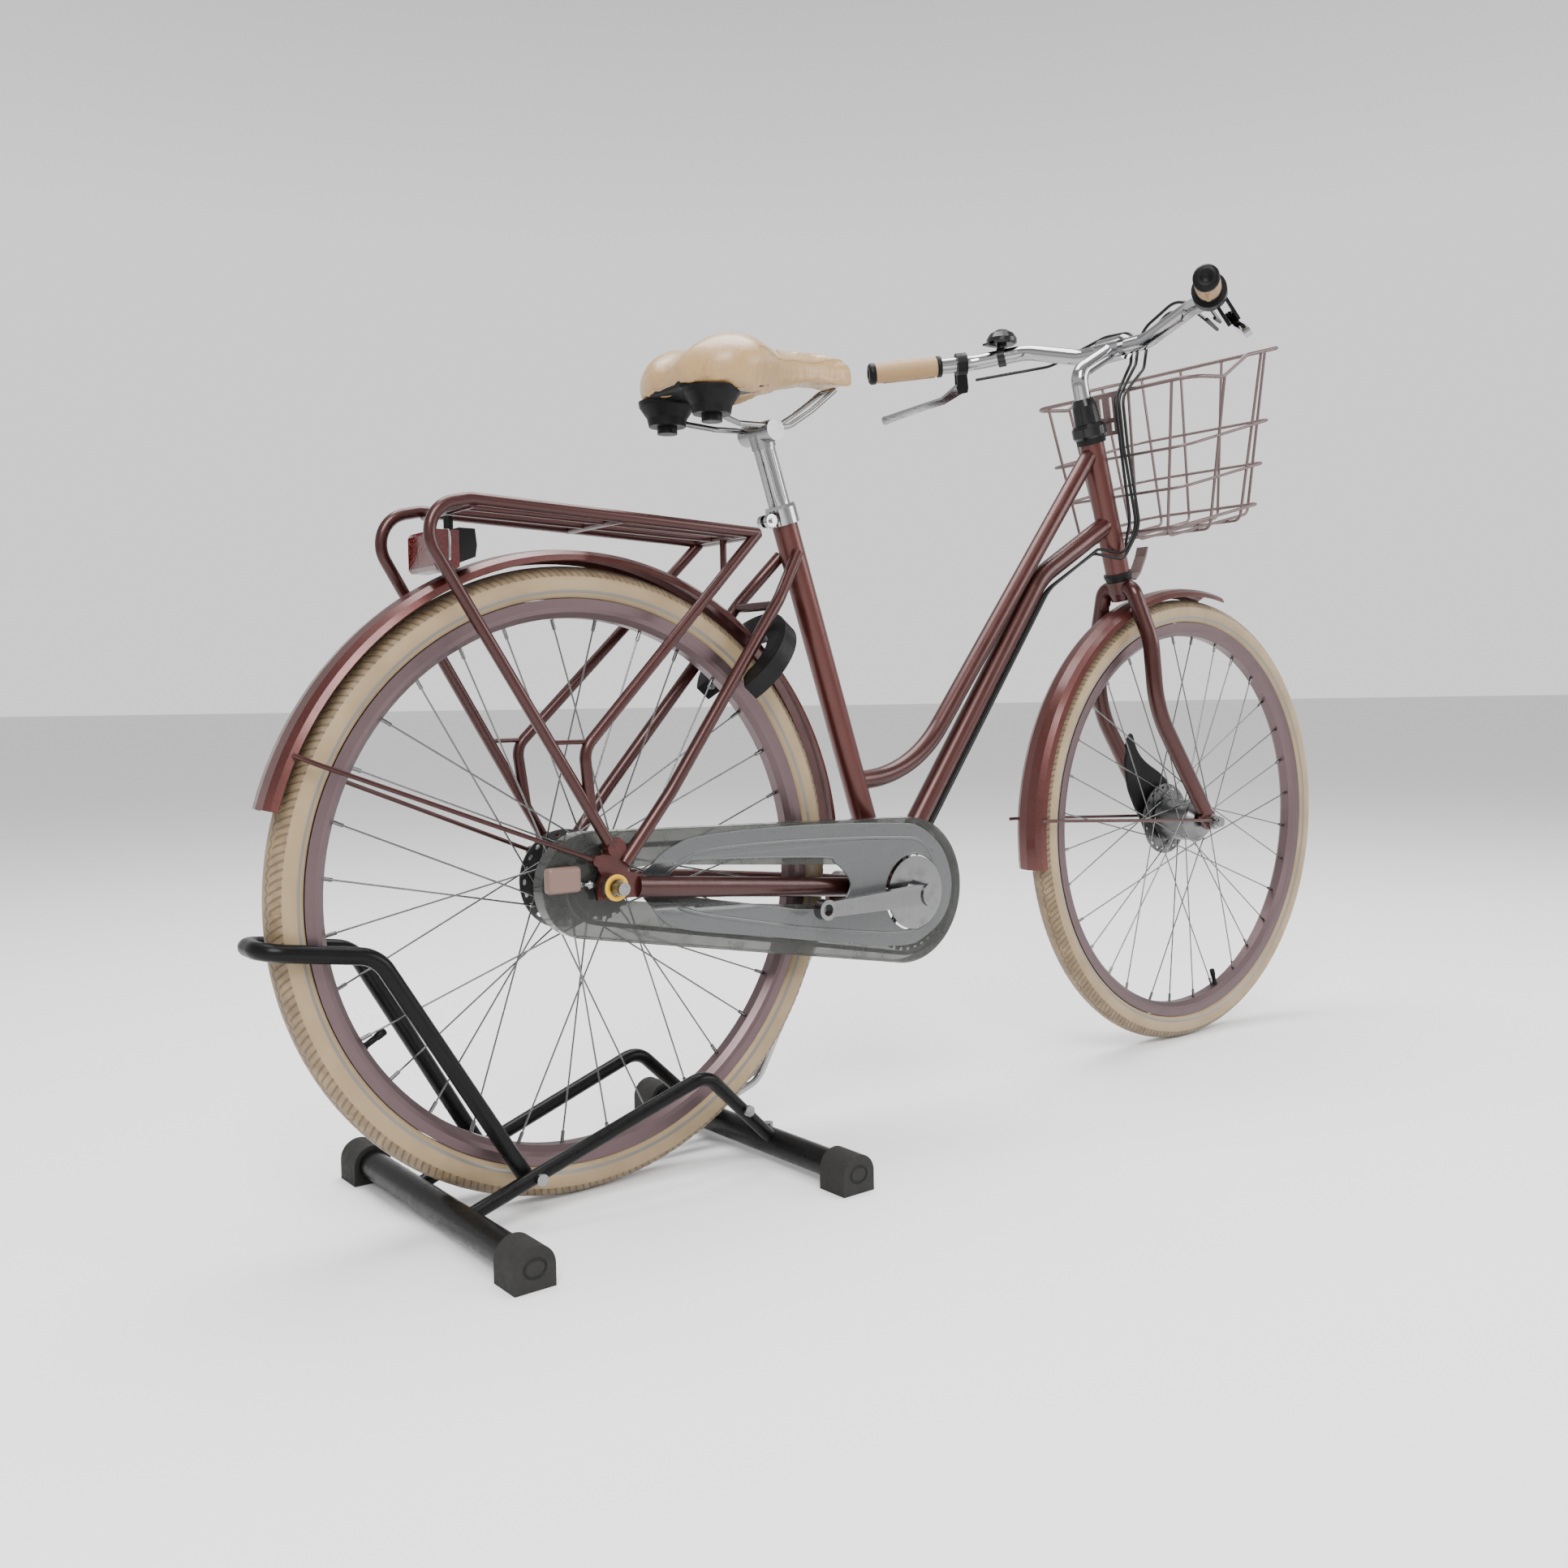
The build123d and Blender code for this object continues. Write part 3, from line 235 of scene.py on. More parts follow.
def tyre_rubber(name, centre):
    """Cream rubber with block tread, brown soil patches on the tread, painted shade in the tread grooves and
    a grey band on each side wall.
    """
    m = Finish(name, **{"Sheen Weight": 0.1})
    arc, radius, side = m.around(centre)
    wide = m.math("ABSOLUTE", side)
    lean = m.math("ADD", arc, m.math("MULTIPLY", wide, 0.9))
    lug = m.math("PINGPONG", lean, 0.0045)
    lug = m.ramp(lug, 0.0009, 0.0015)
    zigzag = m.math("MULTIPLY", m.math("PINGPONG", arc, 0.006), 0.5)
    rib = m.ramp(m.math("ABSOLUTE", m.math("SUBTRACT", m.math("ADD", wide, zigzag), 0.0075)), 0.0006, 0.0012)
    on_tread = m.ramp(radius, TYRE_RADIUS - 0.0125, TYRE_RADIUS - 0.0115)
    shoulder = m.ramp(wide, 0.0085, 0.0095)
    block = m.mix(shoulder, rib, lug)
    height = m.mix(on_tread, (1, 1, 1), block)
    rings = m.math("ABSOLUTE", m.math("SUBTRACT", radius, TYRE_RADIUS - 0.0285))
    band = m.math("MULTIPLY", m.ramp(rings, 0.0020, 0.0015), m.ramp(wide, 0.008, 0.010))
    # the second colour is the painted shade for the tread grooves
    cream, dirt_and_shade = (0.285, 0.205, 0.112), (0.055, 0.032, 0.015)
    patches = m.ramp(m.noise(14, 7), 0.42, 0.75)
    body = m.mix(m.math("MULTIPLY", patches, 0.6), cream, (0.160, 0.108, 0.054))
    soil = m.math("MULTIPLY", on_tread, m.ramp(m.noise(60, 6), 0.30, 0.62, 0.25, 0.85))
    body = m.mix(soil, body, (0.120, 0.077, 0.037))
    # painted shade: the grooves between the tread blocks are darkened
    grooves = m.math("MULTIPLY", on_tread, m.math("SUBTRACT", 1.0, block))
    body = m.mix(m.math("MULTIPLY", grooves, 0.6), body, dirt_and_shade)
    body = m.mix(m.math("MULTIPLY", band, 0.85), body, (0.125, 0.125, 0.118))
    m.colour(body)
    m.roughness(m.mix(band, m.ramp(m.noise(90, 4), 0.3, 0.7, 0.5, 0.72), (0.3, 0.3, 0.3)))
    fine = m.math("MULTIPLY", m.noise(500, 3), 0.12)
    m.bump(m.math("ADD", height, fine), 0.75, 0.0011)
    return m.material


def rim_metal(name, centre):
    """Anodised rim, turned around its axle, with darker brake-dust streaks."""
    m = Finish(name, Metallic=0.75)
    arc, radius, side = m.around(centre)
    ridges = m.add("ShaderNodeCombineXYZ", {0: m.math("MULTIPLY", arc, 14),
                                            1: m.math("MULTIPLY", radius, 2600),
                                            2: m.math("MULTIPLY", side, 2600)}).outputs[0]
    turned = m.noise(1.0, 3, ridges)
    streak = m.ramp(m.noise(24, 6), 0.45, 0.75)
    base = (0.125, 0.084, 0.090)
    body = m.mix(m.math("MULTIPLY", turned, 0.4), base, shade(base, 0.62))
    m.colour(m.mix(m.math("MULTIPLY", streak, 0.3), body, (0.08, 0.058, 0.058)))
    m.roughness(m.ramp(turned, 0.2, 0.8, 0.3, 0.48))
    m.bump(turned, 0.08, 0.0003)
    return m.material


def smoke(name):
    """Dirty smoke-grey clear plastic."""
    m = Finish(name, IOR=1.3, **{"Transmission Weight": 0.86})
    film = m.ramp(m.noise(30, 6), 0.40, 0.75)
    specks = m.ramp(m.noise(220, 5), 0.6, 0.75)
    body = m.mix(m.math("MULTIPLY", film, 0.6), (0.165, 0.170, 0.158), (0.075, 0.080, 0.070))
    m.colour(m.mix(m.math("MULTIPLY", specks, 0.4), body, (0.045, 0.045, 0.04)))
    m.roughness(m.ramp(film, 0.1, 0.9, 0.10, 0.38))
    m.bump(m.noise(180, 2), 0.06, 0.0005)
    return m.material


def lens(name, base):
    """Moulded lens with small prisms."""
    m = Finish(name, IOR=1.49, **{"Transmission Weight": 0.15, "Coat Weight": 0.35, "Coat Roughness": 0.05})
    prisms = m.cells(330)
    m.colour(m.mix(m.ramp(prisms, 0.2, 0.75, 0, 0.6), base, shade(base, 0.35)))
    m.roughness(m.ramp(m.noise(200, 3), 0.3, 0.7, 0.08, 0.2))
    m.bump(prisms, 0.35, 0.0006)
    return m.material


# ROSE is the paint's mid tone; the second rose colour is its lit tone, for painted glints and a painted edge
# highlight
ROSE = (0.0275, 0.0036, 0.0027)
ROSE_HIGHLIGHT = (0.150, 0.036, 0.027)
TAN = (0.375, 0.232, 0.098)
TAN_DARK = (0.25, 0.135, 0.050)
SOOT = (0.028, 0.027, 0.026)

# each paint gets its mid tone and its lit tone; the lit tone paints glints on the flakes and a highlight
# along the edges
copper_paint = paint("copper_paint", ROSE, ROSE_HIGHLIGHT)
guard_paint = paint("guard_paint", (0.052, 0.0092, 0.0076), (0.21, 0.062, 0.051), 0.25)
stand_black = plastic("stand_black", (0.003, 0.003, 0.0033), 0.24, 0.40, 1100, 0.12, 0.08, SOOT,
                      **{"Specular IOR Level": 0.14})
cap_rubber = plastic("cap_rubber", (0.009, 0.009, 0.009), 0.6, 0.85, 700, 0.35, 0.5,
                     (0.04, 0.039, 0.037), **{"Specular IOR Level": 0.12})
zinc = metal("zinc", (0.26, 0.26, 0.265), 0.2, 0.42)
chrome = metal("chrome", (0.34, 0.34, 0.348), 0.05, 0.18, (40, 40, 500), 0.07, 0.03)
alloy = metal("polished_alloy", (0.20, 0.20, 0.203), 0.16, 0.34, (200, 30, 30), 0.3)
hub_alloy = metal("hub_alloy", (0.16, 0.16, 0.163), 0.26, 0.48, (60, 500, 60), 0.45)
spoke_steel = metal("spoke_steel", (0.15, 0.15, 0.15), 0.18, 0.34, (400, 400, 400), 0.3, 0.05)
black_plastic = plastic("black_plastic", (0.004, 0.004, 0.0044), 0.32, 0.55, 1000, 0.2, 0.10, SOOT,
                        **{"Specular IOR Level": 0.13})
black_gloss = plastic("black_gloss", (0.0035, 0.0035, 0.004), 0.12, 0.28, 700, 0.05, 0.06, SOOT,
                      **{"Specular IOR Level": 0.32})
cable_black = plastic("cable_black", (0.004, 0.004, 0.0044), 0.3, 0.5, 1500, 0.1, 0.08, SOOT,
                      **{"Specular IOR Level": 0.3})
basket_coat = plastic("basket_coat", (0.125, 0.088, 0.086), 0.30, 0.46, 900, 0.1, 0.35,
                      (0.10, 0.062, 0.055), Metallic=0.55)
tan_leather = leather("tan_leather", TAN, TAN_DARK, 520, (0.2, 0.42), 0.35)
grip_leather = leather("grip_leather", (0.31, 0.192, 0.084), (0.26, 0.14, 0.06), 620, (0.42, 0.62), 0.0)
rear_rubber = tyre_rubber("rear_tyre_rubber", REAR_AXLE)
front_rubber = tyre_rubber("front_tyre_rubber", FRONT_AXLE)
rear_rim_metal = rim_metal("rear_rim_metal", REAR_AXLE)
front_rim_metal = rim_metal("front_rim_metal", FRONT_AXLE)
smoke_plastic = smoke("smoke_plastic")
red_lens = lens("red_lens", (0.085, 0.0009, 0.0007))
case_grey = plastic("case_grey", (0.060, 0.063, 0.064), 0.24, 0.42, 1000, 0.1, 0.10,
                    (0.13, 0.13, 0.127), **{"Coat Weight": 0.25})
rosy_plastic = plastic("rosy_plastic", (0.150, 0.088, 0.070), 0.35, 0.5, 900, 0.12, 0.2, (0.12, 0.09, 0.08))
yellow_plastic = plastic("yellow_plastic", (0.62, 0.33, 0.008), 0.4, 0.6, 900, 0.15, 0.2, (0.2, 0.12, 0.03))
thread = leather("thread", (0.36, 0.22, 0.11), (0.2, 0.11, 0.05), 2600, (0.6, 0.8), 0.0)
chain_steel = metal("chain_steel", (0.12, 0.11, 0.10), 0.3, 0.5, (500, 500, 500), 0.5)

LOOKS = {
    copper_paint: "bottom_bracket seat_tube head_tube upper_tube down_tube chainstays seatstays fork "
    "rear_carrier "
                  "rear_mudguard_stays front_mudguard_stays",
    guard_paint: "rear_mudguard front_mudguard",
    stand_black: "stand_bars stand_rails stand_hoop",
    cap_rubber: "stand_end_caps",
    zinc: "stand_bolts rear_axle front_axle lock_shackle saddle_frame",
    chrome: "handlebar stem seatpost seat_clamp kickstand left_brake_lever right_brake_lever",
    alloy: "cranks chainring",
    hub_alloy: "rear_hub front_hub crank_axle rear_sprocket",
    spoke_steel: "rear_spokes front_spokes",
    black_plastic: "headset_cups lock_body saddle_base saddle_springs twist_shifter tail_light lever_clamps",
    black_gloss: "headset_nut bell bell_lever",
    cable_black: "steering_cables frame_cables",
    basket_coat: "basket basket_bracket",
    tan_leather: "saddle_cover",
    grip_leather: "grips",
    rear_rubber: "rear_tyre",
    front_rubber: "front_tyre",
    rear_rim_metal: "rear_rim",
    front_rim_metal: "front_rim",
    smoke_plastic: "chaincase",
    red_lens: "tail_light_lens",
    chain_steel: "chain",
}
for look, names in LOOKS.items():
    for name in names.split():
        mesh = nodes[name].data
        mesh.materials.clear()
        mesh.materials.append(look)
unpainted = sorted(set(nodes) - {n for names in LOOKS.values() for n in names.split()})
if unpainted:
    raise SystemExit(f"no material for {unpainted}")


# ---------------------------------------------------------------- mesh helpers
def piece(name, vertices, faces, look, body, smooth=True):
    mesh = bpy.data.meshes.new(name)
    mesh.from_pydata([tuple(v) for v in vertices], [], faces)
    mesh.validate()
    mesh.polygons.foreach_set("use_smooth", [smooth] * len(mesh.polygons))
    mesh.materials.append(look)
    obj = bpy.data.objects.new(name, mesh)
    SCENE.collection.objects.link(obj)
    tidy = bmesh.new()
    tidy.from_mesh(mesh)
    bmesh.ops.recalc_face_normals(tidy, faces=tidy.faces)
    tidy.to_mesh(mesh)
    tidy.free()
    if body:
        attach(obj, body)
    return obj


def made_final(obj):
    """Applies the modifiers of obj."""
    bpy.context.view_layer.update()
    evaluated = obj.evaluated_get(bpy.context.evaluated_depsgraph_get())
    mesh = bpy.data.meshes.new_from_object(evaluated)
    old = obj.data
    obj.modifiers.clear()
    obj.data = mesh
    bpy.data.meshes.remove(old)
    return obj


def square_to(direction):
    """Two unit vectors at right angles to direction and to each other."""
    helper = Vector((0, 0, 1)) if abs(direction.z) < 0.9 else Vector((1, 0, 0))
    first = direction.cross(helper).normalized()
    return first, direction.cross(first).normalized()


def lathe(name, start, direction, profile, look, body, around=48):
    """A turned piece: profile is (distance along direction, radius)."""
    direction = Vector(direction).normalized()
    first, second = square_to(direction)
    vertices, faces = [], []
    for t, radius in profile:
        for k in range(around):
            a = 2 * pi * k / around
            out = first * cos(a) + second * sin(a)
            vertices.append(Vector(start) + direction * t + out * max(radius, 1e-5))
    for i in range(len(profile) - 1):
        for k in range(around):
            n = (k + 1) % around
            faces.append((i * around + k, i * around + n, (i + 1) * around + n, (i + 1) * around + k))
    return piece(name, vertices, faces, look, body, True)


def sweep(points, radius, around=10, closed=False):
    """Vertices and faces of a round tube through points."""
    points = [Vector(p) for p in points]
    count = len(points)
    vertices, faces = [], []
    normal = None
    for i, p in enumerate(points):
        before = points[i - 1] if (i or closed) else p
        after = points[(i + 1) % count] if (i < count - 1 or closed) else p
        tangent = (after - before).normalized()
        if normal is None:
            normal = square_to(tangent)[0]
        normal = (normal - tangent * normal.dot(tangent)).normalized()
        other = tangent.cross(normal)
        for k in range(around):
            a = 2 * pi * k / around
            vertices.append(p + (normal * cos(a) + other * sin(a)) * radius)
    for i in range(count if closed else count - 1):
        for k in range(around):
            n = (k + 1) % around
            j = (i + 1) % count
            faces.append((i * around + k, i * around + n, j * around + n, j * around + k))
    if not closed:
        faces.append(tuple(range(around))[::-1])
        faces.append(tuple((count - 1) * around + k for k in range(around)))
    return vertices, faces


def smooth_curve(points, steps=10, closed=False):
    """Catmull-Rom points through points."""
    points = [Vector(p) for p in points]
    count = len(points)
    out = []
    for i in range(count if closed else count - 1):
        p1, p2 = points[i], points[(i + 1) % count]
        p0 = points[i - 1] if (i or closed) else p1 * 2 - p2
        p3 = points[(i + 2) % count] if (i < count - 2 or closed) else p2 * 2 - p1
        for k in range(steps):
            t = k / steps
            out.append(0.5 * ((2 * p1) + (p2 - p0) * t + (2 * p0 - 5 * p1 + 4 * p2 - p3) * t * t
                              + (3 * p1 - p0 - 3 * p2 + p3) * t ** 3))
    if not closed:
        out.append(points[-1])
    return out


def merged(parts):
    vertices, faces = [], []
    for part_vertices, part_faces in parts:
        base = len(vertices)
        vertices += list(part_vertices)
        faces += [tuple(base + i for i in f) for f in part_faces]
    return vertices, faces


def round_hole(centre, radius, count):
    """Points around a circle in an x-z plane."""
    turns = [2 * pi * k / count for k in range(count)]
    return [(centre.x + radius * cos(a), centre.z + radius * sin(a)) for a in turns]


def flat_sheet(name, loops, plane_y, thickness, bevel):
    """A moulded sheet in an x-z plane: the first loop is its outline, the others are holes."""
    curve = bpy.data.curves.new(name, "CURVE")
    curve.dimensions = "2D"
    curve.fill_mode = "BOTH"
    curve.extrude = thickness / 2 - bevel
    curve.bevel_depth = bevel
    curve.bevel_resolution = 3
    for loop in loops:
        spline = curve.splines.new("POLY")
        spline.points.add(len(loop) - 1)
        for point, (x, z) in zip(spline.points, loop):
            point.co = (x, z, 0, 1)
        spline.use_cyclic_u = True
    shape = bpy.data.objects.new(name + "_shape", curve)
    SCENE.collection.objects.link(shape)
    bpy.context.view_layer.update()
    mesh = bpy.data.meshes.new_from_object(shape.evaluated_get(bpy.context.evaluated_depsgraph_get()))
    bpy.data.objects.remove(shape)
    bpy.data.curves.remove(curve)
    mesh.transform(Matrix.Translation((0, plane_y, 0)) @ Matrix.Rotation(radians(90), 4, "X"))
    vertices = [v.co.copy() for v in mesh.vertices]
    faces = [tuple(p.vertices) for p in mesh.polygons]
    bpy.data.meshes.remove(mesh)
    return vertices, faces


# ---------------------------------------------------------------- tyres
TREAD_DEPTH = 0.0006
RIB_DEPTH = 0.0005


def tyre(name, node, centre, body, look):
    """Round-section tyre with real tread blocks, open at the rim."""
    around, profile = 900, 40
    core = TYRE_RADIUS - TYRE_HALF
    vertices, faces = [], []
    for i in range(around):
        a = 2 * pi * i / around
        for j in range(profile + 1):
            lean = radians(-141 + 282 * j / profile)
            reach = TYRE_HALF - 0.0002
            shoulder = abs(lean)
            if radians(26) < shoulder < radians(60) and (i + (2 if lean > 0 else 0)) % 5 == 0:
                reach -= TREAD_DEPTH
            if abs(shoulder - radians(24)) < radians(3):
                reach -= RIB_DEPTH
            r = core + reach * cos(lean)
            vertices.append((centre.x + r * cos(a), centre.y + reach * sin(lean), centre.z + r * sin(a)))
    step = profile + 1
    for i in range(around):
        n = (i + 1) % around
        for j in range(profile):
            faces.append((i * step + j, n * step + j, n * step + j + 1, i * step + j + 1))
    obj = piece(name, vertices, faces, look, body)
    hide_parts(node)
    return obj


tyre("rear_tyre_tread", "rear_tyre", REAR_AXLE, "rear_wheel", rear_rubber)
tyre("front_tyre_tread", "front_tyre", FRONT_AXLE, "front_wheel", front_rubber)


# ---------------------------------------------------------------- saddle
def skirt(obj, low, high):
    """Draws the lower edge down over the base: a little at the rear, most where the wings meet the nose."""
    co = np.array([v.co for v in obj.data.vertices])
    length = high.x - low.x
    along = (co[:, 0] - low.x) / length
    bins = np.clip((along * 40).astype(int), 0, 39)
    half = np.array([np.abs(co[bins == b, 1]).max() if (bins == b).any() else 0.02 for b in range(40)])[bins]
    under = np.array([co[bins == b, 2].min() if (bins == b).any() else low.z for b in range(40)])[bins]
    outer = np.clip((np.abs(co[:, 1]) / half - 0.55) / 0.35, 0, 1)
    end = np.maximum(np.clip((0.10 - along) / 0.10, 0, 1), np.clip((along - 0.93) / 0.07, 0, 1))
    rim = np.maximum(outer * outer * (3 - 2 * outer), end)
    lower = np.clip(1 - (co[:, 2] - under) / 0.018, 0, 1)
    drop = 0.008 + 0.012 * np.exp(-((along - 0.44) / 0.16) ** 2) + 0.003 * along
    co[:, 2] -= drop * rim * lower
    obj.data.vertices.foreach_set("co", co.ravel())
    obj.data.update()


def saddle_pad():
    """The padded cover: cloth blown up under pressure from a slightly smaller copy of its shell."""
    source = nodes["saddle_cover"]
    mesh = source.data.copy()
    obj = bpy.data.objects.new("saddle_pad", mesh)
    SCENE.collection.objects.link(obj)
    tidy = bmesh.new()
    tidy.from_mesh(mesh)
    bmesh.ops.remove_doubles(tidy, verts=tidy.verts, dist=1e-5)
    bmesh.ops.recalc_face_normals(tidy, faces=tidy.faces)
    tidy.to_mesh(mesh)
    tidy.free()
    remesh = obj.modifiers.new("remesh", "REMESH")
    remesh.mode = "VOXEL"
    remesh.voxel_size = 0.0045
    made_final(obj)
    low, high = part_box("saddle_cover")
    shrink = 0.003
    for vertex in obj.data.vertices:
        vertex.co -= vertex.normal * shrink
    start = np.array([v.co for v in obj.data.vertices])
    cloth = obj.modifiers.new("cloth", "CLOTH")
    cloth.settings.use_pressure = True
    cloth.settings.uniform_pressure_force = 4.0
    cloth.settings.effector_weights.gravity = 0.0
    cloth.settings.quality = 6
    cloth.point_cache.frame_start = 1
    cloth.point_cache.frame_end = 20
    for number in range(1, 21):
        SCENE.frame_set(number)
    made_final(obj)
    SCENE.frame_set(1)
    end = np.array([v.co for v in obj.data.vertices])
    move = end - start
    length = np.linalg.norm(move, axis=1, keepdims=True)
    cap = 0.006
    end = start + move * np.minimum(1, cap / np.maximum(length, 1e-9))
    for vertex, co in zip(obj.data.vertices, end):
        vertex.co = co
    skirt(obj, low, high)
    smooth = obj.modifiers.new("smooth", "SMOOTH")
    smooth.factor = 0.5
    smooth.iterations = 3
    finer = obj.modifiers.new("finer", "SUBSURF")
    finer.levels = finer.render_levels = 1
    made_final(obj)
    return obj, low, high


pad, saddle_low, saddle_high = saddle_pad()
SADDLE_LENGTH = saddle_high.x - saddle_low.x


def saddle_line(kind, side):
    """Seam lines over the top of the saddle, as (x, y) stations from the rear to the nose."""
    if kind == "rim":      # along the side, from the wide rear to the nose
        stations = [(0.30, 0.085), (0.42, 0.064), (0.54, 0.043), (0.64, 0.030), (0.78, 0.0235),
                    (0.90, 0.0195), (0.965, 0.012)]
    elif kind == "wing":   # from the middle over each wing to its edge
        stations = [(0.60, 0.0), (0.57, 0.012), (0.52, 0.026), (0.49, 0.043), (0.475, 0.060), (0.46, 0.074)]
    else:                  # inner channel
        stations = [(0.62, 0.006), (0.74, 0.0095), (0.86, 0.0085), (0.94, 0.004)]
    return [Vector((saddle_low.x + SADDLE_LENGTH * x, side * y, 0)) for x, y in stations]


def sew(obj, lines, depth, width):
    """Presses seam grooves into obj along lines seen from above."""
    co = np.array([v.co for v in obj.data.vertices])
    normals = np.array([v.normal for v in obj.data.vertices])
    upper = normals[:, 2] > -0.15
    sunk = np.zeros(len(co))
    for line in lines:
        dense = np.array([tuple(p) for p in smooth_curve(line, 12)])
        for p in dense:
            near = np.hypot(co[:, 0] - p[0], co[:, 1] - p[1])
            sunk = np.maximum(sunk, np.clip(1 - near / width, 0, 1) ** 1.5)
    sunk *= upper
    co -= normals * (sunk * depth)[:, None]
    obj.data.vertices.foreach_set("co", co.ravel())
    obj.data.update()


def saddle_shell():
    """Black moulded shell, tucked up inside the cover."""
    mesh = nodes["saddle_base"].data.copy()
    obj = bpy.data.objects.new("saddle_shell", mesh)
    SCENE.collection.objects.link(obj)
    low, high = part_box("saddle_base")
    co = np.array([v.co for v in mesh.vertices])
    co[:, 0] = (low.x + high.x) / 2 + (co[:, 0] - (low.x + high.x) / 2) * 0.94
    nose = np.clip((co[:, 0] - low.x) / (high.x - low.x) * 2 - 0.7, 0, 1)
    co[:, 1] *= 0.88 - 0.16 * nose
    co[:, 2] += 0.004 + 0.003 * nose
    mesh.vertices.foreach_set("co", co.ravel())
    mesh.update()
    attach(obj, "saddle")
    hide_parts("saddle_base")


saddle_shell()
SEAMS = [saddle_line(kind, side) for kind in ("rim", "wing", "channel") for side in (-1, 1)]
sew(pad, SEAMS, 0.0016, 0.0042)
pad.data.materials.clear()
pad.data.materials.append(tan_leather)
pad.data.polygons.foreach_set("use_smooth", [True] * len(pad.data.polygons))
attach(pad, "saddle")
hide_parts("saddle_cover")


def stitches(name, lines, surface, body, look, pitch=0.0048, length=0.0030, radius=0.00042):
    """Short thread stitches beside each seam line, laid on the surface below."""
    bpy.context.view_layer.update()
    parts = []
    for line in lines:
        dense = smooth_curve(line, 40)
        travelled, last = 0.0, None
        for p, q in zip(dense, dense[1:]):
            travelled += (q - p).length
            if last is None or travelled - last >= pitch:
                last = travelled
                ahead = (q - p).normalized()
                aside = Vector((-ahead.y, ahead.x, 0)) * 0.0032
                ends = []
                for t in (-0.5, 0, 0.5):
                    above = p + aside + ahead * length * t
                    over = Vector((above.x, above.y, saddle_high.z + 0.05))
                    hit, place, normal, _ = surface.ray_cast(over, Vector((0, 0, -1)))
                    if hit:
                        ends.append(place + normal * radius * (0.9 if t == 0 else 0.1))
                if len(ends) == 3:
                    parts.append(sweep(ends, radius, 6))
    vertices, faces = merged(parts)
    return piece(name, vertices, faces, look, body)


stitches("saddle_stitches", SEAMS[:4], pad, "saddle", thread)


# ---------------------------------------------------------------- grips
STITCH_PITCH = 0.0052
STITCH_RADIUS = 0.00045


def grip(name, side):
    """Leather sleeve with a stitched seam, a black collar and an end plug."""
    start, end, radius = axis_of(points_of("grips", side))
    if abs(start.y) > abs(end.y):
        start, end = end, start
    direction = (end - start).normalized()
    long = (end - start).length
    profile = []
    for k in range(41):
        t = k / 40
        belly = 0.0006 * sin(pi * t) - 0.0012 * (abs(2 * t - 1) ** 8)
        profile.append((0.006 + (long - 0.016) * t, radius - 0.0008 + belly))
    sleeve = lathe(name, start, direction, profile, grip_leather, "steering", 56)
    inner = [(0.0, radius - 0.004), (0.0, radius - 0.0006), (0.001, radius), (0.006, radius),
             (0.007, radius - 0.001), (0.007, radius - 0.003)]
    outer = [(long - 0.011, radius - 0.003), (long - 0.011, radius - 0.001), (long - 0.010, radius),
             (long - 0.003, radius), (long - 0.0006, radius - 0.0025), (long, radius - 0.006),
             (long, radius * 0.42), (long - 0.0018, radius * 0.36), (long - 0.0018, 0)]
    lathe(name + "_collar", start, direction, inner, black_plastic, "steering", 48)
    lathe(name + "_plug", start, direction, outer, black_plastic, "steering", 48)
    down = Vector((0, 0, -1))
    down = (down - direction * down.dot(direction)).normalized()
    across = direction.cross(down)
    parts = []
    count = int((long - 0.03) / STITCH_PITCH)
    for k in range(count):
        t = 0.014 + k * STITCH_PITCH
        for lean in (-1, 1):
            points = []
            for s in (-1, 0, 1):
                a = s * 0.17
                aim = (down * cos(a) + across * sin(a)) * (radius + (0.0001 if s == 0 else -0.0004))
                points.append(start + direction * (t + lean * s * 0.0018) + aim)
            parts.append(sweep(points, STITCH_RADIUS, 6))
    vertices, faces = merged(parts)
    piece(name + "_stitches", vertices, faces, thread, "steering")
    return sleeve


left_grip = grip("left_grip_leather", 1)
grip("right_grip_leather", -1)
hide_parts("grips")


# ---------------------------------------------------------------- chain case insert, axle details
def case_point(x, z):
    """A place on the chain case from its distance behind and above the crank centre, in millimetres."""
    return CRANK_CENTRE.x - x / 1000, CRANK_CENTRE.z + z / 1000


CASE_OUTLINE = [(403, 50), (394, 71), (368, 87), (324, 96), (187, 98), (33, 91), (-14, 82), (-52, 52),
                (-68, 8), (-57, -32), (-24, -57), (24, -66), (150, -46), (232, -31), (354, -9), (388, 8),
                (401, 28)]
CASE_WINDOW = [(366, 58), (352, 68), (322, 69), (156, 58), (130, 49), (110, 30), (107, 14), (128, -6),
               (182, -5), (230, 4), (346, 26), (366, 38)]
CASE_LIP = [(372, 60), (350, 74), (306, 80), (188, 80), (33, 73), (-14, 64), (-38, 34), (-40, -8),
            (-14, -38), (24, -50), (150, -32), (270, -8), (350, 12), (374, 34)]

CRANK_HOLE_RADIUS = 0.0505
INSERT_THICKNESS = 0.0024
INSERT_EDGE = 0.0009
LIP_RADIUS = 0.0030


def case_curve(stations, steps):
    """A smooth closed line through places on the chain case."""
    return smooth_curve([(*case_point(x, z), 0) for x, z in stations], steps, True)


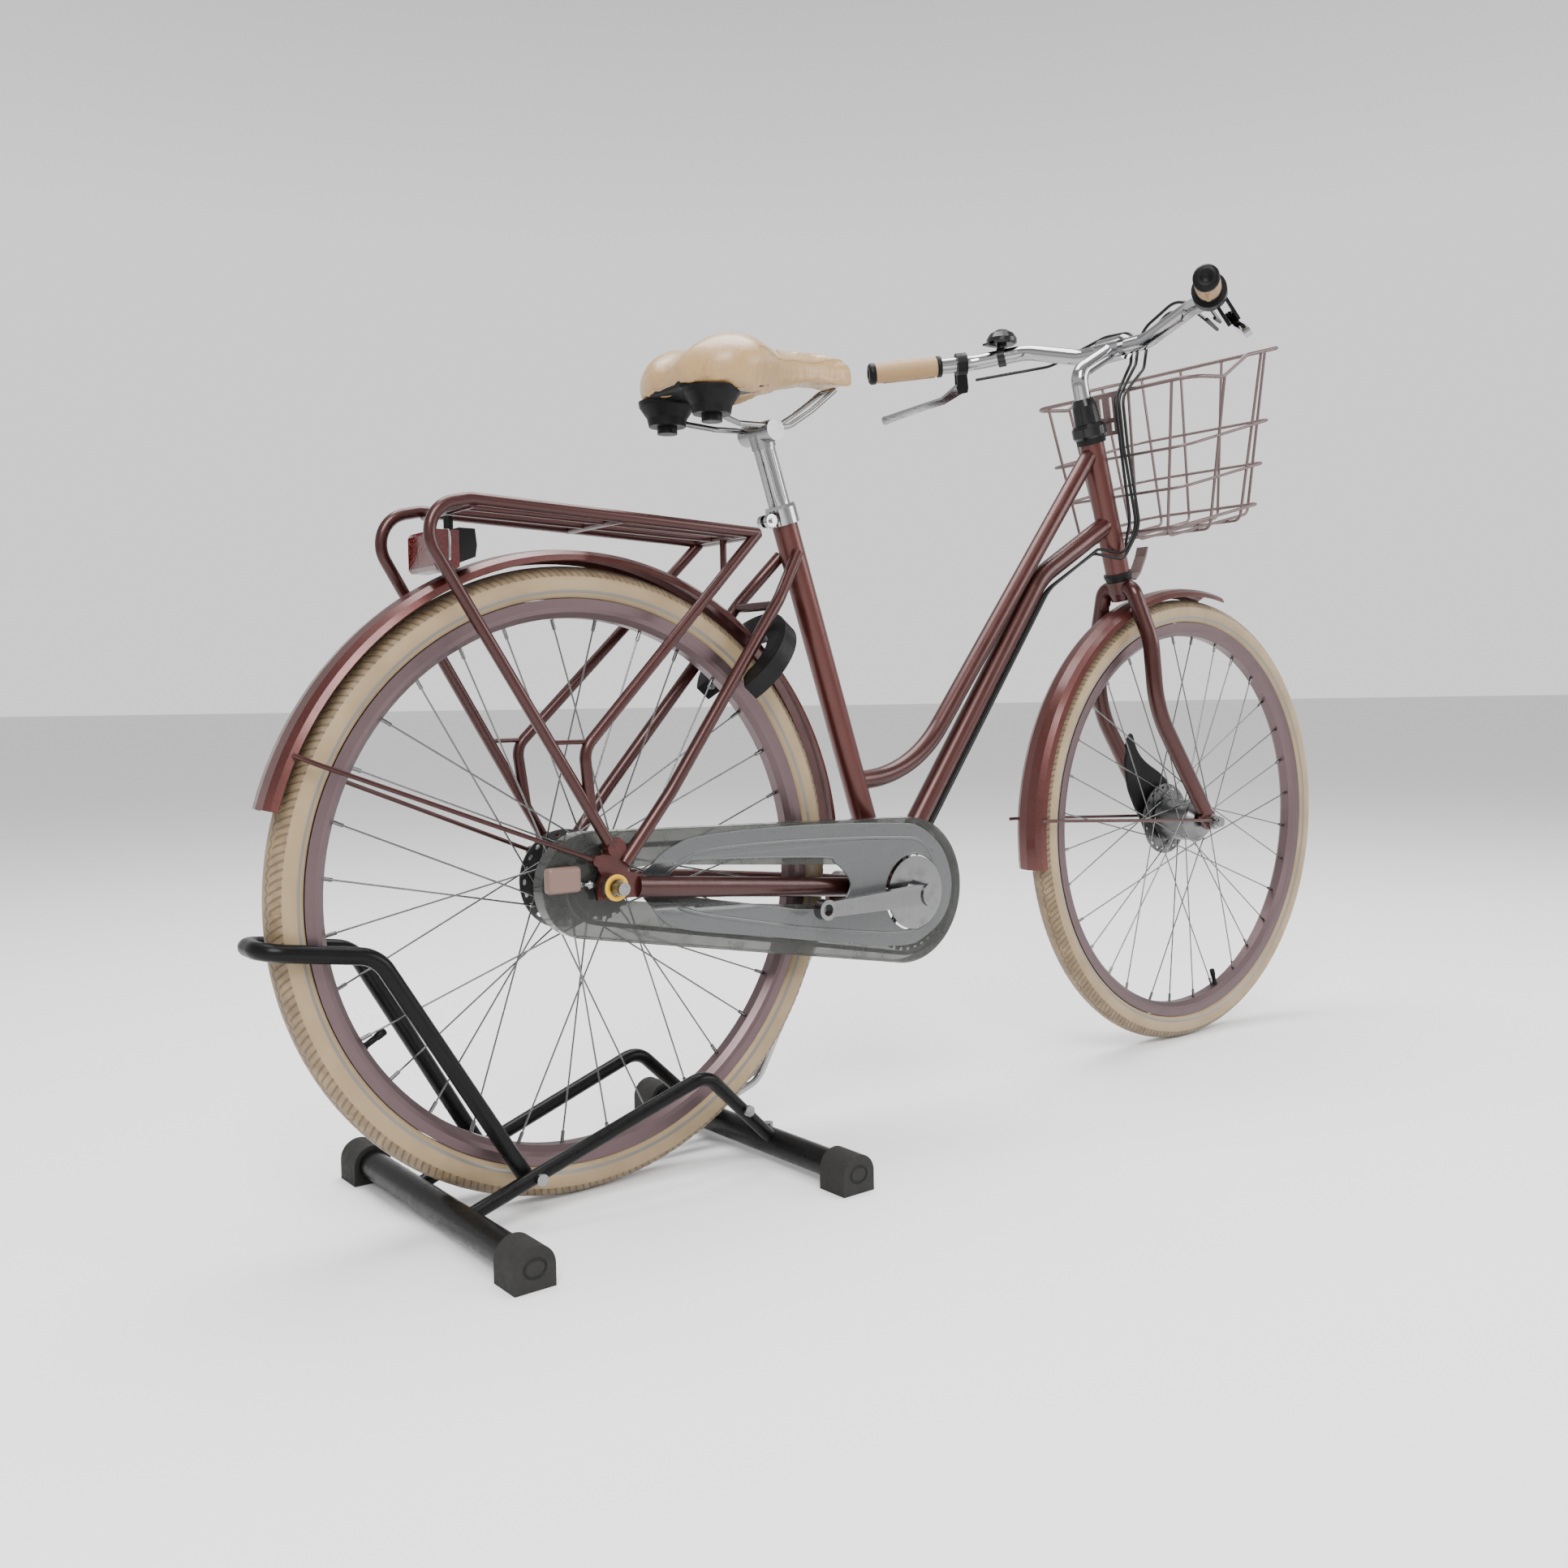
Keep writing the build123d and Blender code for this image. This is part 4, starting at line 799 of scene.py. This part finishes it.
def case_insert():
    """Grey moulded insert on the chain case, with its window, crank hole and raised lip."""
    outline = [(p.x, p.y) for p in case_curve(CASE_OUTLINE, 8)]
    window = [(p.x, p.y) for p in case_curve(CASE_WINDOW, 8)]
    hole = round_hole(CRANK_CENTRE, CRANK_HOLE_RADIUS, 64)
    sheet = flat_sheet("case_insert", [outline, window, hole], CASE_FACE - 0.0014, INSERT_THICKNESS,
                       INSERT_EDGE)
    lip = [Vector((p.x, CASE_FACE - 0.0016, p.y)) for p in case_curve(CASE_LIP, 10)]
    ring = sweep(lip, LIP_RADIUS, 12, True)
    flatter = [Vector((v.x, CASE_FACE - 0.0016 + (v.y - CASE_FACE + 0.0016) * 0.7, v.z)) for v in ring[0]]
    ring = (flatter, ring[1])
    rolled = []
    for loop in (window, hole):
        path = [Vector((x, CASE_FACE - 0.0013, z)) for x, z in loop]
        rolled.append(sweep(path, 0.0016, 10, True))
    vertices, faces = merged([sheet, ring, *rolled])
    for v in vertices:
        back = v.x - REAR_AXLE.x
        near = min(1.0, max(0.0, (0.235 - back) / 0.11))
        stay_z = REAR_AXLE.z - 0.003 - (back - 0.034) * 0.1036
        inside = min(1.0, max(0.0, (0.025 - abs(v.z - stay_z)) / 0.011))
        v.y += 0.0125 * near * near * (3 - 2 * near) * inside
    obj = piece("case_insert", vertices, faces, case_grey, "frame", True)
    return obj


case_insert()


def rounded_block(low, high, bevel):
    """A moulded block with rounded edges."""
    solid = bmesh.new()
    bmesh.ops.create_cube(solid, size=1.0)
    for v in solid.verts:
        v.co = Vector((low[i] + (high[i] - low[i]) * (v.co[i] + 0.5) for i in range(3)))
    bmesh.ops.bevel(solid, geom=list(solid.edges), offset=bevel, segments=5, affect="EDGES", profile=0.6)
    vertices = [v.co.copy() for v in solid.verts]
    faces = [tuple(v.index for v in f.verts) for f in solid.faces]
    solid.free()
    return vertices, faces


block_low = (REAR_AXLE.x - 0.078, CASE_FACE - 0.016, REAR_AXLE.z - 0.002)
block_high = (REAR_AXLE.x - 0.038, CASE_FACE - 0.0015, REAR_AXLE.z + 0.026)
vertices, faces = rounded_block(block_low, block_high, 0.006)
piece("gear_cable_box", vertices, faces, rosy_plastic, "frame", True)
rod_start = Vector((block_high[0] - 0.002, CASE_FACE - 0.008, REAR_AXLE.z + 0.006))
lathe("gear_rod", rod_start, (1, 0, -0.12),
      [(0, 0.0045), (0.006, 0.0045), (0.0065, 0.0022), (0.012, 0.0022), (0.0125, 0.005), (0.018, 0.005),
       (0.0185, 0.0025), (0.026, 0.0025), (0.026, 0)],
      zinc, "frame", 24)
washer_place = Vector((REAR_AXLE.x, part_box("chainstays")[0].y - 0.0036, REAR_AXLE.z))
lathe("axle_washer", washer_place, (0, -1, 0),
      [(0, 0.0092), (0, 0.0145), (0.0022, 0.0145), (0.0026, 0.0135), (0.0026, 0.0092), (0, 0.0092)],
      yellow_plastic, "frame", 40)


# ---------------------------------------------------------------- valves, brake arm
def valve(name, centre, angle, body):
    """Schrader valve with a black cap, pointing at the axle."""
    outward = Vector((cos(angle), 0, sin(angle)))
    root = centre + outward * (TYRE_RADIUS - 0.0560)
    profile = [(0, 0.0042), (0.003, 0.0042), (0.004, 0.0034), (0.016, 0.0034), (0.0165, 0.0041),
               (0.026, 0.0041), (0.0275, 0.0030), (0.0275, 0)]
    return lathe(name, root, -outward, profile, black_plastic, body, 20)


valve("rear_valve", REAR_AXLE, radians(-150), "rear_wheel")
valve("front_valve", FRONT_AXLE, radians(-72), "front_wheel")


ARM_THICKNESS = 0.0050
ARM_EDGE = 0.0014
ARM_HOLE_RADIUS = 0.0135


def brake_arm():
    """Black cover and reaction arm of the front brake, from the hub up to the left fork leg."""
    outline = [(-0.074, 0.138), (-0.060, 0.112), (-0.038, 0.092), (0.012, 0.064), (0.036, 0.030),
               (0.030, -0.008), (0.004, -0.030), (-0.026, -0.030), (-0.044, -0.004), (-0.066, 0.028),
               (-0.082, 0.062), (-0.086, 0.112)]
    stations = [(FRONT_AXLE.x + x, FRONT_AXLE.z + z, 0) for x, z in outline]
    loop = [(p.x, p.y) for p in smooth_curve(stations, 6, True)]
    hole = round_hole(FRONT_AXLE, ARM_HOLE_RADIUS, 32)
    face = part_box("front_hub")[1].y - 0.0042
    plate = flat_sheet("front_brake_arm", [loop, hole], face, ARM_THICKNESS, ARM_EDGE)
    rib = sweep(smooth_curve([(FRONT_AXLE.x - 0.070, face + 0.0015, FRONT_AXLE.z + 0.110),
                              (FRONT_AXLE.x - 0.052, face + 0.0015, FRONT_AXLE.z + 0.060),
                              (FRONT_AXLE.x - 0.024, face + 0.0015, FRONT_AXLE.z + 0.024)], 8), 0.0026, 10)
    vertices, faces = merged([plate, rib])
    return piece("front_brake_arm", vertices, faces, black_plastic, "steering", True)


brake_arm()


RING_HALF_WIDTH = 0.0115
RING_HALF_HEIGHT = 0.0090
RING_WIRE_RADIUS = 0.0012


def cap_rings():
    """Raised oval on the end face of each rubber foot of the stand."""
    points = points_of("stand_end_caps")
    centre_x = (points[:, 0].max() + points[:, 0].min()) / 2
    parts = []
    for x_side in (-1, 1):
        for y_side in (-1, 1):
            cap = points[((points[:, 0] - centre_x) * x_side > 0) & (points[:, 1] * y_side > 0)]
            face = np.abs(cap[:, 1]).max() * y_side
            x = (cap[:, 0].max() + cap[:, 0].min()) / 2
            z = cap[:, 2].max() * 0.5
            turns = [2 * pi * k / 40 for k in range(40)]
            ring = [Vector((x + RING_HALF_WIDTH * cos(a), face, z + RING_HALF_HEIGHT * sin(a)))
                    for a in turns]
            parts.append(sweep(ring, RING_WIRE_RADIUS, 8, True))
    vertices, faces = merged(parts)
    return piece("cap_rings", vertices, faces, cap_rubber, "stand", True)


cap_rings()


def light_band():
    """Bright band along the top and sides of the tail light."""
    low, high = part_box("tail_light_lens")
    inset = 0.0035
    x = low.x + (high.x - low.x) * 0.62
    path = [(x, low.y + inset * 0.2, low.z + 0.010), (x, low.y + inset * 0.2, high.z - 0.006),
            (x, low.y + 0.008, high.z + 0.0002), (x, high.y - 0.008, high.z + 0.0002),
            (x, high.y - inset * 0.2, high.z - 0.006), (x, high.y - inset * 0.2, low.z + 0.010)]
    vertices, faces = sweep(smooth_curve(path, 8), 0.0016, 10)
    return piece("light_band", vertices, faces, chrome, "frame", True)


light_band()


# ---------------------------------------------------------------- copy of the frame cables, original hidden
def bending_cables():
    source = nodes["frame_cables"]
    mesh = source.data.copy()
    obj = bpy.data.objects.new("bending_cables", mesh)
    SCENE.collection.objects.link(obj)
    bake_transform(obj)
    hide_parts("frame_cables")


bending_cables()

# ---------------------------------------------------------------- softened edges on the CAD nodes
for name in ("stand_end_caps", "cranks", "tail_light", "lock_body", "chainring", "stem", "seat_clamp",
             "chainstays"):
    bevel = nodes[name].modifiers.new("soft edges", "BEVEL")
    bevel.width = 0.0008
    bevel.segments = 2
    bevel.limit_method = "ANGLE"
    bevel.angle_limit = radians(40)
    bevel.harden_normals = False

# ---------------------------------------------------------------- floor, light, camera
floor_finish = Finish("floor_paper")
floor_finish.colour(floor_finish.mix(floor_finish.noise(3, 3), (0.86, 0.86, 0.86), (0.84, 0.84, 0.845)))
floor_finish.roughness(floor_finish.ramp(floor_finish.noise(40, 3), 0.3, 0.7, 0.7, 0.8))
bpy.ops.mesh.primitive_plane_add(size=600, location=(0, 0, 0))
floor = bpy.context.object
floor.name = "floor"
floor.data.materials.append(floor_finish.material)

WORLD_STRENGTH = 1.35
world = bpy.data.worlds.new("studio")
SCENE.world = world
world.use_nodes = True
sky = world.node_tree
height = sky.nodes.new("ShaderNodeSeparateXYZ")
sky.links.new(sky.nodes.new("ShaderNodeTexCoord").outputs["Generated"], height.inputs[0])
band = sky.nodes.new("ShaderNodeValToRGB")
for position, grey in ((0.0, 0.86), (0.30, 0.95), (0.55, 0.42), (0.8, 0.5), (1.0, 0.85)):
    at_end = position in (0.0, 1.0)
    stops = band.color_ramp.elements
    stop = stops[int(position)] if at_end else stops.new(position)
    stop.color = (grey, grey, grey, 1)
sky.links.new(height.outputs[2], band.inputs[0])
sky.links.new(band.outputs[0], sky.nodes["Background"].inputs[0])
sky.nodes["Background"].inputs[1].default_value = WORLD_STRENGTH


def softbox(name, place, aim, size, power):
    data = bpy.data.lights.new(name, "AREA")
    data.shape = "RECTANGLE"
    data.size, data.size_y = size
    data.energy = power
    lamp = bpy.data.objects.new(name, data)
    SCENE.collection.objects.link(lamp)
    lamp.location = place
    lamp.rotation_euler = (Vector(aim) - Vector(place)).to_track_quat("-Z", "Y").to_euler()
    return lamp


key = softbox("key_light", (-2.2, -2.4, 3.2), (0, 0, 0.5), (2.0, 2.0), 210)
fill = softbox("fill_light", (2.6, -2.6, 1.9), (0, 0, 0.6), (2.2, 1.6), 70)
top = softbox("top_light", (0.2, 0.6, 3.6), (0, 0, 0.6), (3.0, 2.0), 190)

# The camera was fitted to the wheels, floor bars and tube joints of the photograph.
YAW, PITCH, ROLL = radians(51.818), radians(-3.339), radians(-0.812)
CAMERA_PLACE = Vector((-1.328339, -1.372502, 0.547012))
CAMERA_LENS = 32.241
look = Vector((cos(PITCH) * cos(YAW), cos(PITCH) * sin(YAW), sin(PITCH)))
right = Vector((sin(YAW), -cos(YAW), 0))
up = right.cross(look)
right, up = right * cos(ROLL) + up * sin(ROLL), up * cos(ROLL) - right * sin(ROLL)
camera_data = bpy.data.cameras.new("camera")
camera_data.sensor_width = 36
camera_data.lens = CAMERA_LENS
camera_data.clip_end = 200
camera = bpy.data.objects.new("camera", camera_data)
SCENE.collection.objects.link(camera)
camera.matrix_world = Matrix(((right.x, up.x, -look.x, CAMERA_PLACE.x),
                              (right.y, up.y, -look.y, CAMERA_PLACE.y),
                              (right.z, up.z, -look.z, CAMERA_PLACE.z), (0, 0, 0, 1)))
SCENE.camera = camera
